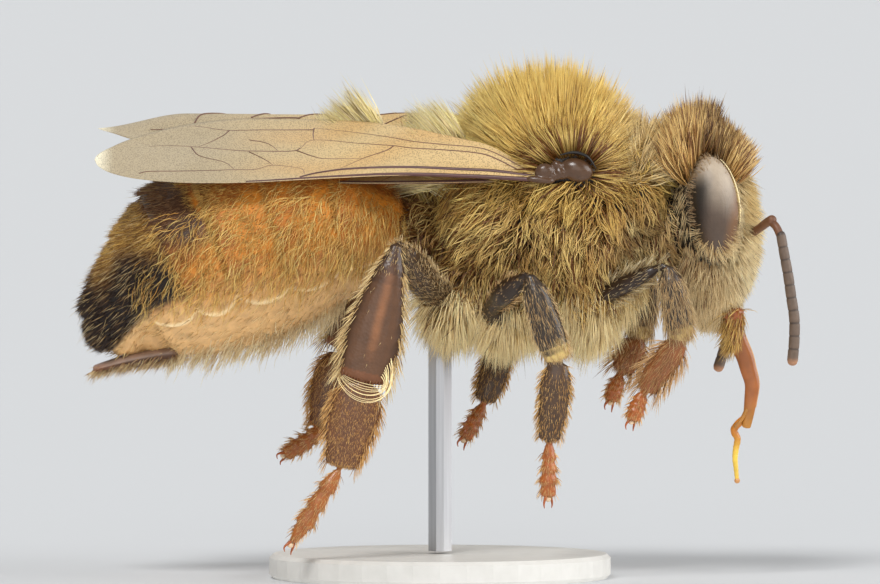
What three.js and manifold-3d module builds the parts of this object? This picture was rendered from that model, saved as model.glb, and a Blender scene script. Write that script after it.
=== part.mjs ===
// A worker honey bee, life size, held still on a small display stand.
// Millimetres, +Z up, +X towards the head, +Y towards the bee's left side.
// The origin is the centre of the underside of the stand's base.
// The solids of the body, legs and head reach out to the tips of the coat.
import * as THREE from 'three';
import { mergeVertices } from 'three/addons/utils/BufferGeometryUtils.js';
import Module from 'manifold-3d';

const wasm = await Module();
wasm.setup();
const { Manifold, Mesh: SolidMesh } = wasm;

// The narrow gap that parts neighbours, and the play around the rod in its socket.
const gap = 0.05;
const socketPlay = 0.06;

// Details finer than this are smoothed away after the cuts.
const smallestEdge = 0.05;

// The stand: a thin round base and one rod that rises between the hind legs.
const stand = { baseRadius: 3.5, baseThick: 0.5, bevel: 0.08, rodRadius: 0.25, rodTop: 6.1 };

// The trunk, with its coat: a rounded block with a hip, a breast and a rear tuft.
const thorax = {
  middle: [2.2, 0, 7.7], halfSize: [2.6, 2.45, 2.9], squareness: 2.5,
  hip: { middle: [0.85, 0, 6.0], halfSize: [1.15, 1.35, 1.15], fine: 12 },
  breast: { middle: [3.45, 0, 5.75], halfSize: [1.15, 1.2, 1.05], fine: 12 },
  tuft: { middle: [-0.2, 0, 8.9], halfSize: [0.95, 1.05, 0.95], fine: 12 },
  frontEnd: 4.33,
};
const neck = { middle: [4.55, 0, 7.2], halfSize: [0.9, 1.5, 2.1], rearEnd: 4.38, frontEnd: 4.68 };

// The head, with its coat: broad at the eyes, narrow at the mouth, with a crest of long hair.
const head = {
  middle: [5.55, 0, 7.25], halfSize: [1.08, 1.75, 2.1], mouthNarrowing: 0.3, widestHeight: 0.35,
  rearEnd: 4.73,
  crest: { middle: [5.3, 0, 8.55], halfSize: [1.12, 1.35, 1.47] },
};
const eye = {
  middle: [5.59, 1.42, 7.68], halfSize: [0.51, 0.5, 1.04], lean: -0.13, splay: 0.14, fine: 12,
};
const mandible = {
  root: [5.95, 0.42, 5.5], middle: [6.0, 0.46, 5.15], tip: [5.95, 0.28, 4.78],
  halfWidths: [[0.24, 0.3], [0.25, 0.32], [0.18, 0.2]],
};

// The tongue sheath curves down and back, and the tongue leaves its end.
const sheath = {
  path: [[5.88, 0, 5.2], [6.22, 0, 4.6], [6.4, 0, 3.95], [6.34, 0, 3.4], [6.17, 0, 2.95]],
  halfWidths: [[0.3, 0.26], [0.3, 0.25], [0.27, 0.25], [0.25, 0.25]],
};
const tongue = {
  path: [[6.18, 0, 3.1], [6.06, 0, 2.65], [6.04, 0, 2.3], [6.21, 0, 1.95]],
  halfWidths: [[0.25, 0.25], [0.25, 0.25], [0.25, 0.25]],
};

// Each feeler is a stalk from the face to an elbow and a whip that hangs from it.
const feelerHalfWidth = 0.25;
const feelers = {
  right: {
    stalk: [[6.3, -0.4, 7.0], [6.55, -1.0, 7.25], [6.82, -1.6, 7.4]],
    whip: [[6.9, -1.62, 7.25], [7.1, -1.66, 6.3], [7.24, -1.66, 5.2], [7.13, -1.62, 4.33]],
  },
  left: {
    stalk: [[6.3, 0.4, 7.0], [6.48, 1.05, 6.95], [6.45, 1.65, 6.8]],
    whip: [[6.4, 1.7, 6.6], [6.32, 1.8, 5.8], [6.1, 1.82, 4.9], [5.62, 1.75, 4.1]],
  },
};

// The abdomen hangs back and down from the waist. It is parted across its own line into
// six rings, each share being the fraction of the line where a ring ends.
const abdomen = {
  path: [
    [-0.25, 0, 7.3], [-2.1, 0, 7.2], [-3.6, 0, 6.86], [-4.95, 0, 6.38], [-6.0, 0, 5.83], [-7.3, 0, 5.1],
  ],
  halfWidths: [
    [1.1, 1.1], [2.05, 1.85], [2.3, 2.1], [2.32, 2.18], [2.15, 2.0], [1.65, 1.65], [0.9, 0.95],
  ],
  ringEnds: [0.2, 0.36, 0.52, 0.67, 0.82],
  tuft: { middle: [-1.6, 0, 8.6], halfSize: [0.85, 0.6, 1.42], fine: 12 },
  lastPlate: {
    path: [[-5.6, 0, 4.5], [-6.4, 0, 4.38], [-7.02, 0, 4.25]],
    halfWidths: [[0.5, 0.28], [0.6, 0.28], [0.35, 0.25]],
  },
};
const waist = {
  path: [[-0.55, 0, 7.35], [-0.1, 0, 7.4]],
  halfWidths: [[0.75, 0.8], [0.75, 0.8]],
};

// Wings are flat plates. Their outlines run along the wing (u) and back from its front edge (v).
const wingThick = 0.5;
const forewing = {
  length: 9.2, breadth: 3.05, rootFront: -0.12, rootRear: 0.52,
  frontBow: -0.3, shoulder: 0.22, tip: 1.15,
};
const hindwing = { length: 6.2, breadth: 1.85, setIn: 0.85, rootHalf: 0.25, tip: 0.65 };
const wingPose = {
  right: { root: [2.1, -2.3, 8.42], sideways: 0.02, slope: 14, rise: -0.2 },
  left: { root: [2.1, 2.3, 8.68], sideways: 0.02, slope: 7, rise: 2.4 },
};
const hindwingPlace = { drop: wingThick + 1.4 * gap, setBack: 0.25 };
// How far a right wing's cutter reaches through the left wings.
const wingOverlap = 3;
const tegula = { middle: [2.72, 2.2, 8.42], halfSize: [0.5, 0.28, 0.34], fine: 8 };

// The joints of each leg from hip to claws: hip, thigh root, knee, ankle, heel and toe.
// The hip and the thigh are one bent piece, and each later piece runs from joint to joint.
const legJoints = {
  fore_right: [[3.35, -0.5, 5.6], [3.2, -0.95, 5.72], [4.62, -1.85, 6.5],
    [4.93, -1.7, 4.95], [4.15, -1.35, 3.9], [3.92, -1.3, 3.28]],
  fore_left: [[3.35, 0.5, 5.6], [3.1, 0.95, 5.7], [4.3, 1.85, 6.3],
    [4.1, 1.8, 4.85], [3.72, 1.6, 4.15], [3.52, 1.55, 3.55]],
  mid_right: [[1.7, -0.6, 5.6], [0.95, -1.2, 5.45], [1.8, -2.65, 6.35],
    [2.4, -2.55, 4.55], [2.22, -2.4, 2.9], [2.2, -2.35, 1.72]],
  mid_left: [[1.7, 0.6, 5.6], [1.0, 1.2, 5.5], [1.6, 2.6, 6.15],
    [1.3, 2.5, 4.75], [0.92, 2.3, 3.5], [0.5, 2.2, 2.75]],
  hind_right: [[0.45, -0.65, 5.75], [-0.02, -1.0, 5.78], [-0.86, -2.85, 6.98],
    [-1.58, -2.95, 4.15], [-2.02, -2.9, 2.4], [-3.02, -2.8, 0.84]],
  hind_left: [[0.45, 0.65, 5.75], [0.0, 1.0, 5.8], [-0.92, 2.8, 6.85],
    [-1.95, 2.85, 4.5], [-2.4, 2.75, 2.9], [-3.22, 2.65, 2.4]],
};
const legParts = ['femur', 'tibia', 'basitarsus', 'tarsus'];
// Half widths along each leg part, across the body first and fore and aft second.
const legHalfWidths = {
  fore: {
    femur: [[0.36, 0.38], [0.3, 0.3], [0.34, 0.34], [0.28, 0.28]],
    tibia: [[0.27, 0.28], [0.3, 0.36], [0.28, 0.34]],
    basitarsus: [[0.27, 0.4], [0.27, 0.45], [0.26, 0.38]],
    tarsus: [[0.25, 0.27], [0.25, 0.25], [0.27, 0.27]],
  },
  mid: {
    femur: [[0.36, 0.38], [0.3, 0.3], [0.34, 0.34], [0.28, 0.3]],
    tibia: [[0.27, 0.29], [0.3, 0.36], [0.28, 0.38]],
    basitarsus: [[0.27, 0.37], [0.27, 0.38], [0.26, 0.31]],
    tarsus: [[0.25, 0.25], [0.25, 0.25], [0.27, 0.27]],
  },
  hind: {
    femur: [[0.38, 0.4], [0.32, 0.32], [0.38, 0.42], [0.3, 0.34]],
    tibia: [[0.28, 0.3], [0.3, 0.46], [0.3, 0.6], [0.28, 0.62]],
    basitarsus: [[0.27, 0.6], [0.27, 0.58], [0.26, 0.42]],
    tarsus: [[0.25, 0.3], [0.25, 0.27], [0.27, 0.27]],
  },
};
const claw = { length: 0.26, halfWidth: 0.09, spread: 0.14, rise: 0.12 };

const looks = {
  paleFur: { color: 0xcbb27a, roughness: 0.9 },
  darkFur: { color: 0x5a4630, roughness: 0.8 },
  amber: { color: 0xb8762c, roughness: 0.8 },
  black: { color: 0x2c2118, roughness: 0.8 },
  shell: { color: 0x4a3222, roughness: 0.4 },
  foot: { color: 0xb0602a, roughness: 0.5 },
  eye: { color: 0x7d6f66, roughness: 0.3 },
  tongue: { color: 0xc4762c, roughness: 0.4 },
  wing: { color: 0xd8c6a4, roughness: 0.35 },
  feeler: { color: 0x6f5f50, roughness: 0.6 },
  paint: { color: 0xd4d4d0, roughness: 0.5 },
  steel: { color: 0xb8b8b8, roughness: 0.35, metalness: 0.9 },
};

const point = ([x, y, z]) => new THREE.Vector3(x, y, z);

// Moves every vertex of a closed geometry and makes a solid of it.
function solid(geometry, move = (vertex) => vertex) {
  geometry.deleteAttribute('normal');
  geometry.deleteAttribute('uv');
  const merged = mergeVertices(geometry, 1e-5);
  const position = merged.getAttribute('position');
  const vertex = new THREE.Vector3();
  for (let i = 0; i < position.count; i += 1) {
    const moved = move(vertex.fromBufferAttribute(position, i));
    position.setXYZ(i, moved.x, moved.y, moved.z);
  }
  return new Manifold(new SolidMesh({
    numProp: 3,
    vertProperties: new Float32Array(position.array),
    triVerts: new Uint32Array(merged.index.array),
  }));
}

// A round block: an ellipsoid, made boxier as its squareness rises above 2.
function block(spec, grow = 0, shape = (p) => p) {
  const { middle, halfSize, squareness = 2, lean = 0, splay = 0, fine = 16 } = spec;
  const turn = new THREE.Euler(0, lean, splay);
  return solid(new THREE.SphereGeometry(1, fine, Math.round(0.7 * fine)), (p) => {
    const reach = [p.x, p.y, p.z].reduce((sum, part) => sum + Math.abs(part) ** squareness, 0);
    const stretch = reach ** (-1 / squareness);
    const place = new THREE.Vector3(
      p.x * stretch * (halfSize[0] + grow),
      p.y * stretch * (halfSize[1] + grow),
      p.z * stretch * (halfSize[2] + grow),
    );
    return shape(place).applyEuler(turn).add(point(middle));
  });
}

// A round-ended limb along a path. Half widths are given at equal steps along it, first
// across the body and then along the body, and the ends round off over their last part.
function limb({ path, halfWidths, around = 8, steps = 6, bluntness = 6 }, grow = 0) {
  const line = new THREE.CatmullRomCurve3(path.map(point));
  const sizes = new THREE.SplineCurve(halfWidths.map(([wide, tall]) => new THREE.Vector2(wide, tall)));
  const first = line.getPoint(0).addScaledVector(line.getTangent(0), -grow);
  const last = line.getPoint(1).addScaledVector(line.getTangent(1), grow);
  return solid(new THREE.SphereGeometry(1, around, steps), (p) => {
    const t = (1 - p.y) / 2;
    const radius = Math.hypot(p.x, p.z);
    if (radius < 1e-6) return t < 0.5 ? first : last;
    const forward = line.getTangent(t);
    const across = new THREE.Vector3(0, 1, 0).addScaledVector(forward, -forward.y).normalize();
    const along = new THREE.Vector3().crossVectors(forward, across);
    const rounding = Math.sqrt(1 - Math.abs(2 * t - 1) ** bluntness);
    const size = sizes.getPoint(t);
    return line.getPoint(t)
      .addScaledVector(across, (p.x / radius) * (size.x * rounding + grow))
      .addScaledVector(along, (p.z / radius) * (size.y * rounding + grow));
  });
}

// The half space on one side of a plane, as a large slab.
function halfSpace(at, facing, reach = 30) {
  const away = new THREE.Vector3(...facing).normalize();
  const turn = new THREE.Quaternion().setFromUnitVectors(new THREE.Vector3(0, 0, 1), away);
  return solid(new THREE.BoxGeometry(reach, reach, reach), (p) => (
    p.setZ(p.z + reach / 2).applyQuaternion(turn).add(point(at))
  ));
}

// Keeps what lies between two upright planes across the body.
function between(shape, rearEnd, frontEnd) {
  const front = halfSpace([frontEnd, 0, 0], [-1, 0, 0]);
  const rear = halfSpace([rearEnd, 0, 0], [1, 0, 0]);
  return shape.intersect(front).intersect(rear);
}

// The largest body of a solid, without the crumbs that a cut can leave.
function largest(shape) {
  const bodies = shape.decompose();
  return bodies.reduce((best, body) => (body.volume() > best.volume() ? body : best));
}

function mirrored([x, y, z], side) {
  return [x, side === 'right' ? -y : y, z];
}

// Outline of a forewing: nearly straight front edge, round tip, full rear edge.
function forewingOutline(grow) {
  const { length, breadth, rootFront, frontBow, shoulder, tip, rootRear } = forewing;
  const rear = breadth + grow;
  const outline = new THREE.Shape();
  outline.moveTo(-grow, rootFront - grow);
  outline.bezierCurveTo(
    0.3 * length, frontBow - grow, 0.75 * length, frontBow - grow, 0.9 * length, shoulder - grow,
  );
  outline.quadraticCurveTo(length + grow, 0.5 * tip, length + grow, tip);
  outline.bezierCurveTo(0.98 * length, 0.75 * breadth, 0.84 * length, rear, 0.68 * length, rear);
  outline.bezierCurveTo(
    0.52 * length, rear, 0.4 * length, 0.6 * breadth, 0.22 * length, 2 * rootRear + grow,
  );
  outline.lineTo(-grow, rootRear + grow);
  return outline;
}

// A hindwing lies under its forewing, set in from the forewing's front edge.
function hindwingOutline(grow) {
  const { length, breadth, setIn, rootHalf, tip } = hindwing;
  const rear = setIn + breadth + grow;
  const outline = new THREE.Shape();
  outline.moveTo(-grow, setIn - rootHalf - grow);
  outline.quadraticCurveTo(0.6 * length, setIn - grow, length + grow, setIn + tip);
  outline.bezierCurveTo(0.97 * length, setIn + 0.8 * breadth, 0.8 * length, rear, 0.6 * length, rear);
  outline.bezierCurveTo(
    0.4 * length, rear, 0.2 * length, setIn + 0.3 * breadth + grow, -grow, setIn + rootHalf + grow,
  );
  return outline;
}

// A wing plate lies along the body, its rear edge rising towards the middle line.
function wing(outline, side, { drop = 0, setBack = 0, tall = 0 }, grow = 0) {
  const pose = wingPose[side];
  const toMiddle = side === 'right' ? 1 : -1;
  const slope = THREE.MathUtils.degToRad(pose.slope);
  const rise = THREE.MathUtils.degToRad(pose.rise);
  const back = new THREE.Vector3(-Math.cos(rise), toMiddle * pose.sideways, Math.sin(rise)).normalize();
  const inward = new THREE.Vector3(0, toMiddle * Math.cos(slope), Math.sin(slope));
  inward.addScaledVector(back, -inward.dot(back)).normalize();
  const normal = new THREE.Vector3().crossVectors(back, inward);
  const thick = wingThick + tall + 2 * grow;
  const settings = { depth: thick, bevelEnabled: false, curveSegments: 6 };
  const plate = new THREE.ExtrudeGeometry(outline(grow), settings);
  return solid(plate, (p) => (
    point(pose.root)
      .addScaledVector(back, p.x + setBack)
      .addScaledVector(inward, p.y)
      .addScaledVector(normal, p.z - thick / 2 - Math.sign(normal.z) * drop)
  ));
}

// One of the two claws at the end of a foot.
function clawShape(foot, side, grow) {
  const aside = claw.spread * side;
  const root = point(foot).add(new THREE.Vector3(0, aside / 2, claw.rise));
  const tip = point(foot).add(new THREE.Vector3(-claw.rise, aside, claw.rise - claw.length));
  const width = [claw.halfWidth, claw.halfWidth];
  const path = [root.toArray(), tip.toArray()];
  return limb({ path, halfWidths: [width, width], around: 4, steps: 3 }, grow);
}

// The leg part between two joints, with claws at the end of the foot.
function legPart(leg, part, grow = 0) {
  const pair = leg.split('_')[0];
  const index = legParts.indexOf(part);
  const joints = legJoints[leg];
  const path = part === 'femur' ? joints.slice(0, 3) : joints.slice(index + 1, index + 3);
  const shape = limb({ path, halfWidths: legHalfWidths[pair][part] }, grow);
  if (part !== 'tarsus') return shape;
  const foot = path[path.length - 1];
  return shape.add(clawShape(foot, -1, grow)).add(clawShape(foot, 1, grow));
}

// The same block on one side of the body.
function sideOf(spec, side) {
  const splay = spec.splay || 0;
  return { ...spec, middle: mirrored(spec.middle, side), splay: side === 'right' ? -splay : splay };
}

function mandibleShape(side, grow = 0) {
  const path = [mandible.root, mandible.middle, mandible.tip].map((at) => mirrored(at, side));
  return limb({ path, halfWidths: mandible.halfWidths }, grow);
}

function feelerPart(side, name, grow = 0) {
  const width = [feelerHalfWidth, feelerHalfWidth];
  const steps = name === 'whip' ? 10 : 6;
  return limb({ path: feelers[side][name], halfWidths: [width, width], steps, bluntness: 12 }, grow);
}

function abdomenShape() {
  const { path, halfWidths } = abdomen;
  return limb({ path, halfWidths, around: 20, steps: 16, bluntness: 5 });
}

// One ring of the abdomen, between two cuts across its line.
function abdomenRing(shape, index) {
  const line = new THREE.CatmullRomCurve3(abdomen.path.map(point));
  const cuts = [0, ...abdomen.ringEnds, 1];
  let ring = shape;
  for (const [end, sign] of [[index, 1], [index + 1, -1]]) {
    if (end > 0 && end < cuts.length - 1) {
      const facing = line.getTangent(cuts[end]).multiplyScalar(sign);
      const at = line.getPoint(cuts[end]).addScaledVector(facing, gap / 2);
      ring = ring.intersect(halfSpace(at.toArray(), facing.toArray()));
    }
  }
  return ring;
}

// Narrows the head towards the mouth, and widens it a little over the eyes.
function narrowed(vertex) {
  const height = vertex.z / head.halfSize[2];
  vertex.y *= 1 + head.mouthNarrowing * Math.min(height, head.widestHeight);
  return vertex;
}

// A solid less everything that it must clear.
function clear(shape, ...cutters) {
  return shape.subtract(Manifold.union(cutters.flat()));
}

const bee = new THREE.Group();

// A group of the scene with an origin of its own.
function groupAt(origin) {
  const group = new THREE.Group();
  group.position.copy(point(origin));
  bee.add(group);
  return group;
}

// Adds a solid to a group as a mesh whose own origin is the middle of the solid.
function add(group, name, shape, look) {
  const { vertProperties, numProp, triVerts } = largest(largest(shape).simplify(smallestEdge)).getMesh();
  const geometry = new THREE.BufferGeometry();
  geometry.setAttribute('position', new THREE.BufferAttribute(vertProperties, numProp));
  geometry.setIndex(new THREE.BufferAttribute(triVerts, 1));
  geometry.computeBoundingBox();
  const centre = geometry.boundingBox.getCenter(new THREE.Vector3());
  geometry.translate(-centre.x, -centre.y, -centre.z);
  const mesh = new THREE.Mesh(geometry, new THREE.MeshStandardMaterial(looks[look]));
  mesh.name = name;
  mesh.position.copy(centre).sub(group.position);
  group.add(mesh);
}

const sides = ['right', 'left'];
const legs = Object.keys(legJoints);

// Cutters are the same shapes grown by the gap.
const wingCutters = sides.flatMap((side) => [
  wing(forewingOutline, side, {}, gap),
  wing(hindwingOutline, side, hindwingPlace, gap),
]);
const thighCutters = legs.map((leg) => legPart(leg, 'femur', gap));
const shinCutters = legs.map((leg) => legPart(leg, 'tibia', gap));
const tegulaCutters = sides.map((side) => block(sideOf(tegula, side), gap));
const sheathCutter = limb(sheath, gap);
const waistCutter = limb(waist, gap);
const faceCutters = sides.flatMap((side) => [
  block(sideOf(eye, side), gap),
  mandibleShape(side, gap),
  feelerPart(side, 'stalk', gap),
  feelerPart(side, 'whip', gap),
]);

// The stand: the rod stands on the base and ends in a socket under the trunk.
const standGroup = groupAt([0, 0, 0]);
const disc = new THREE.Shape().absarc(0, 0, stand.baseRadius, 0, 2 * Math.PI);
const base = new THREE.ExtrudeGeometry(disc, {
  depth: stand.baseThick - 2 * stand.bevel,
  curveSegments: 20,
  bevelThickness: stand.bevel,
  bevelSize: stand.bevel,
  bevelOffset: -stand.bevel,
  bevelSegments: 1,
});
base.translate(0, 0, stand.bevel);
add(standGroup, 'stand_base', solid(base), 'paint');

function rod(grow) {
  const length = stand.rodTop - stand.baseThick - gap;
  const radius = stand.rodRadius + grow;
  const cylinder = new THREE.CylinderGeometry(radius, radius, length + 2 * grow, 20);
  cylinder.rotateX(Math.PI / 2);
  cylinder.translate(0, 0, stand.baseThick + gap + length / 2);
  return solid(cylinder);
}
add(standGroup, 'stand_rod', rod(0), 'steel');
const rodCutter = rod(socketPlay);

// The trunk and neck.
const bodyGroup = groupAt(thorax.middle);
const trunkBlocks = [thorax, thorax.hip, thorax.breast, thorax.tuft];
const trunk = between(Manifold.union(trunkBlocks.map((spec) => block(spec))), -10, thorax.frontEnd);
const trunkCut = clear(trunk, wingCutters, thighCutters, tegulaCutters, rodCutter, waistCutter);
add(bodyGroup, 'thorax', trunkCut, 'paleFur');
const neckCut = clear(between(block(neck), neck.rearEnd, neck.frontEnd), thighCutters);
add(bodyGroup, 'neck', neckCut, 'paleFur');

// The abdomen starts behind the trunk's coat. Its tuft stands between the wings, and its
// last plate hangs below the tip.
const trunkCutter = Manifold.union([thorax, thorax.hip, thorax.tuft].map((spec) => block(spec, gap)));
const abdomenCut = clear(
  abdomenShape(), trunkCutter, wingCutters, thighCutters, shinCutters, rodCutter, waistCutter,
).add(clear(block(abdomen.tuft), trunkCutter)).add(limb(abdomen.lastPlate));
const amberRings = 3;
for (let ring = 0; ring <= abdomen.ringEnds.length; ring += 1) {
  const look = ring < amberRings ? 'amber' : 'black';
  add(bodyGroup, `abdomen_${ring + 1}`, abdomenRing(abdomenCut, ring), look);
}
add(bodyGroup, 'waist', clear(limb(waist), thighCutters, wingCutters), 'darkFur');

// The head and what it carries.
const headGroup = groupAt(head.middle);
const headShape = between(block(head, 0, narrowed).add(block(head.crest)), head.rearEnd, 10);
const headCut = clear(headShape, thighCutters, shinCutters, faceCutters, sheathCutter);
add(headGroup, 'head', headCut, 'paleFur');
for (const side of sides) {
  const eyeCutter = block(sideOf(eye, side), gap);
  add(headGroup, `eye_${side}`, block(sideOf(eye, side)), 'eye');
  add(headGroup, `mandible_${side}`, clear(mandibleShape(side), sheathCutter), 'foot');
  const stalk = clear(feelerPart(side, 'stalk'), feelerPart(side, 'whip', gap), eyeCutter);
  add(headGroup, `feeler_stalk_${side}`, stalk, 'shell');
  add(headGroup, `feeler_${side}`, feelerPart(side, 'whip'), 'feeler');
}
add(headGroup, 'tongue_sheath', limb(sheath), 'tongue');
add(headGroup, 'tongue', clear(limb(tongue), sheathCutter), 'tongue');

// The right wings lie over the left ones, and the abdomen's tuft stands up between them.
const tuftCutter = block(abdomen.tuft, gap);
const overLeft = [
  tuftCutter,
  wing(forewingOutline, 'right', { tall: wingOverlap }, gap),
  wing(hindwingOutline, 'right', { ...hindwingPlace, tall: wingOverlap }, gap),
];
for (const side of sides) {
  const wingGroup = groupAt(wingPose[side].root);
  const over = side === 'right' ? [tuftCutter] : overLeft;
  add(wingGroup, `tegula_${side}`, clear(block(sideOf(tegula, side)), wingCutters), 'shell');
  add(wingGroup, `forewing_${side}`, clear(wing(forewingOutline, side, {}), over), 'wing');
  add(wingGroup, `hindwing_${side}`, clear(wing(hindwingOutline, side, hindwingPlace), over), 'wing');
}

// The legs, each part cut by the one before it.
for (const leg of legs) {
  const legGroup = groupAt(legJoints[leg][0]);
  for (const [index, part] of legParts.entries()) {
    const before = legParts.slice(0, index).slice(-1).map((other) => legPart(leg, other, gap));
    const look = part === 'tarsus' ? 'foot' : 'shell';
    add(legGroup, `leg_${leg}_${part}`, clear(legPart(leg, part), before), look);
  }
}

export default bee;
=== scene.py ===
# A worker honey bee, life size, held still on a small display stand.
# Shapes are worked out in millimetres from the frame's nodes, and written in metres.
import math

import bmesh
import bpy
import numpy as np
from mathutils import Matrix, Vector
from mathutils.kdtree import KDTree


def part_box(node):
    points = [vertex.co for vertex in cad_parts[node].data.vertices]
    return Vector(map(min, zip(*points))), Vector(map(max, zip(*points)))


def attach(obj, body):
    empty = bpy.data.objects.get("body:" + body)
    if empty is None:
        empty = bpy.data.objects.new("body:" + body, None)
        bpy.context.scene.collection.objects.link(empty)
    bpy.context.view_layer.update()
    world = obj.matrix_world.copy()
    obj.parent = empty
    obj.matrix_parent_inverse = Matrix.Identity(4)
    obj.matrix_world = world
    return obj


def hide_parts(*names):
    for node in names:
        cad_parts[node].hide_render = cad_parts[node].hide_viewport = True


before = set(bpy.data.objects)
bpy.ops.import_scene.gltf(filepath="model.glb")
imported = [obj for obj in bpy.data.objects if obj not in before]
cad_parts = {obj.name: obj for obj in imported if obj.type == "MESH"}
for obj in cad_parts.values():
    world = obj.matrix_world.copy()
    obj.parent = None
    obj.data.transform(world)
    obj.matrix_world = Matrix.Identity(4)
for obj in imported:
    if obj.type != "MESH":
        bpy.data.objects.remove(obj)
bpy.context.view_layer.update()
mm = 0.001
sides = {"right": -1, "left": 1}


# Small sums on rows of points, and colours.
def unit(rows):
    return rows / np.maximum(np.linalg.norm(rows, axis=-1, keepdims=True), 1e-9)


def ease(low, high, value):  # an eased step from 0 at low to 1 at high
    share = np.clip((np.asarray(value) - low) / (high - low), 0, 1)
    return share * share * (3 - 2 * share)


def window(low, high, soft, value):  # 1 between low and high, with soft ends
    return ease(low - soft, low + soft, value) * (1 - ease(high - soft, high + soft, value))


def paint(red, green, blue):  # a screen colour, 0 to 255, in linear light
    share = np.array([red, green, blue]) / 255
    return np.where(share <= 0.04045, share / 12.92, ((share + 0.055) / 1.055) ** 2.4)


def blendTint(first, second, share):
    share = np.asarray(share, float)[..., None]
    return first * (1 - share) + second * share


def paintOver(paints, tint, *layers):  # named paints over a tint, each by its share
    for name, share in layers:
        tint = blendTint(tint, paints[name], share)
    return tint


def darker(tint, share):  # a darker, warmer hair colour: at a root, painted shade deep in the coat; over a whole hair, its dullness
    return tint * np.asarray(share, float)[..., None] ** np.array([0.72, 1.0, 1.35])


def smoothPath(points, count):  # a smooth run through a few points
    points = np.asarray(points, float)
    padded = np.vstack([2 * points[0] - points[1], points, 2 * points[-1] - points[-2]])
    place = np.linspace(0, len(points) - 1, count)
    index = np.minimum(place.astype(int), len(points) - 2)
    share = (place - index)[:, None]
    before, start, end, after = (padded[index + step] for step in range(4))
    bend = 2 * before - 5 * start + 4 * end - after
    twist = 3 * start - before - 3 * end + after
    return 0.5 * (2 * start + (end - before) * share + bend * share**2 + twist * share**3)


def nearestRow(rows, points):  # for each point, the number of the row nearest to it
    tree = KDTree(len(rows))
    for index, row in enumerate(rows):
        tree.insert(row, index)
    tree.balance()
    return np.array([tree.find(point)[1] for point in points])


# Reading the frame's solids, in millimetres.
def trianglesOf(*nodes):
    found = []
    for node in nodes:
        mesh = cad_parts[node].data
        points = np.empty(3 * len(mesh.vertices), dtype=np.float32)
        mesh.vertices.foreach_get("co", points)
        corners = np.empty(len(mesh.loops), dtype=np.int32)
        mesh.loops.foreach_get("vertex_index", corners)
        found.append(points.reshape(-1, 3)[corners].reshape(-1, 3, 3) / mm)
    return np.concatenate(found).astype(float)


def inBox(node, across, aside, up):  # a place in a node's box, by shares of its sides
    low, high = (np.array(corner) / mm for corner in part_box(node))
    return low + (high - low) * np.array([across, aside, up])


def cutAcross(corners, at, facing):  # where a plane crosses triangles
    height = (corners - at) @ facing
    found = []
    for start, end in ((0, 1), (1, 2), (2, 0)):
        crossing = height[:, start] * height[:, end] < 0
        share = height[crossing, start] / (height[crossing, start] - height[crossing, end])
        run = corners[crossing, end] - corners[crossing, start]
        found.append(corners[crossing, start] + share[:, None] * run)
    return np.concatenate(found)


def crossOf(corners):  # each triangle's normal, as long as twice its area
    return np.cross(corners[:, 1] - corners[:, 0], corners[:, 2] - corners[:, 0])


def acrossAxes(forward):  # the sideways and the upright axis of a ring that faces forward
    sideways = unit(np.array([0.0, 1.0, 0.0]) - forward[1] * forward)
    return sideways, np.cross(forward, sideways)


def sectionsOf(node, count, nearest, inset=0.12, farInset=0.12):
    # Centres and half sizes of cuts along a node, from the end nearest to a point.
    corners = trianglesOf(node)
    points = corners.reshape(-1, 3)
    middle = points.mean(0)
    forward = np.linalg.eigh(np.cov(points.T))[1][:, -1]
    along = (points - middle) @ forward
    if np.linalg.norm(middle + forward * along.min() - nearest) > np.linalg.norm(
        middle + forward * along.max() - nearest
    ):
        forward, along = -forward, -along
    sideways, upright = acrossAxes(forward)
    centres, halves = [], []
    for height in np.linspace(along.min() + inset, along.max() - farInset, count):
        at = middle + forward * height
        cut = cutAcross(corners, at, forward) - at
        spans = [cut @ sideways, cut @ upright]
        low, high = np.array([[span.min(), span.max()] for span in spans]).T
        centres.append(at + sideways * (low[0] + high[0]) / 2 + upright * (low[1] + high[1]) / 2)
        halves.append((high - low) / 2)
    return np.array(centres), np.array(halves)


# Building closed shapes.
def roundEnds(centres, halves, fullness=1.0, height=0.8):
    # Adds a dome of smaller rings at each end of a limb.
    for _ in range(2):
        outward = unit(centres[0] - centres[1])
        reach = halves[0].min() * height
        domes = [(math.sin(turn), math.cos(turn) ** fullness) for turn in (1.35, 0.95, 0.5)]
        caps = np.array([centres[0] + outward * reach * rise for rise, _ in domes])
        capHalves = np.array([halves[0] * narrow for _, narrow in domes])
        centres = np.vstack([caps, centres])[::-1]
        halves = np.vstack([capHalves, halves])[::-1]
    return centres, halves


def loft(bm, centres, halves, around):
    # A closed limb through elliptical rings, half sizes being sideways and upright.
    centres = np.asarray(centres, float)
    runs = unit(np.gradient(centres, axis=0))
    rings = []
    for index, (centre, half) in enumerate(zip(centres, halves)):
        sideways, upright = acrossAxes(runs[index])
        turn = np.eye(4)
        turn[:3] = np.column_stack([sideways * half[0], upright * half[1], runs[index], centre])
        ring = bmesh.ops.create_circle(
            bm,
            cap_ends=index in (0, len(centres) - 1),
            segments=around,
            radius=1,
            matrix=Matrix(turn),
        )["verts"]
        rings.append(list({edge for vert in ring for edge in vert.link_edges}))
    for first, second in zip(rings, rings[1:]):
        bmesh.ops.bridge_loops(bm, edges=first + second)


def tube(bm, path, radii, around, domed=True):  # a round rod, with or without domed ends
    halves = np.column_stack([radii, radii])
    if domed:
        path, halves = roundEnds(path, halves)
    loft(bm, path, halves, around)


def ball(bm, centre, half, lean=0.0, fine=4):  # an ellipsoid, leaned about the sideways axis
    place = Matrix.Translation(Vector(centre)) @ Matrix.Rotation(lean, 4, "Y")
    bmesh.ops.create_icosphere(
        bm, subdivisions=fine, radius=1, matrix=place @ Matrix.Diagonal((*half, 1))
    )


def addObject(name, data):
    added = bpy.data.objects.new(name, data)
    bpy.context.collection.objects.link(added)
    return added


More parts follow.
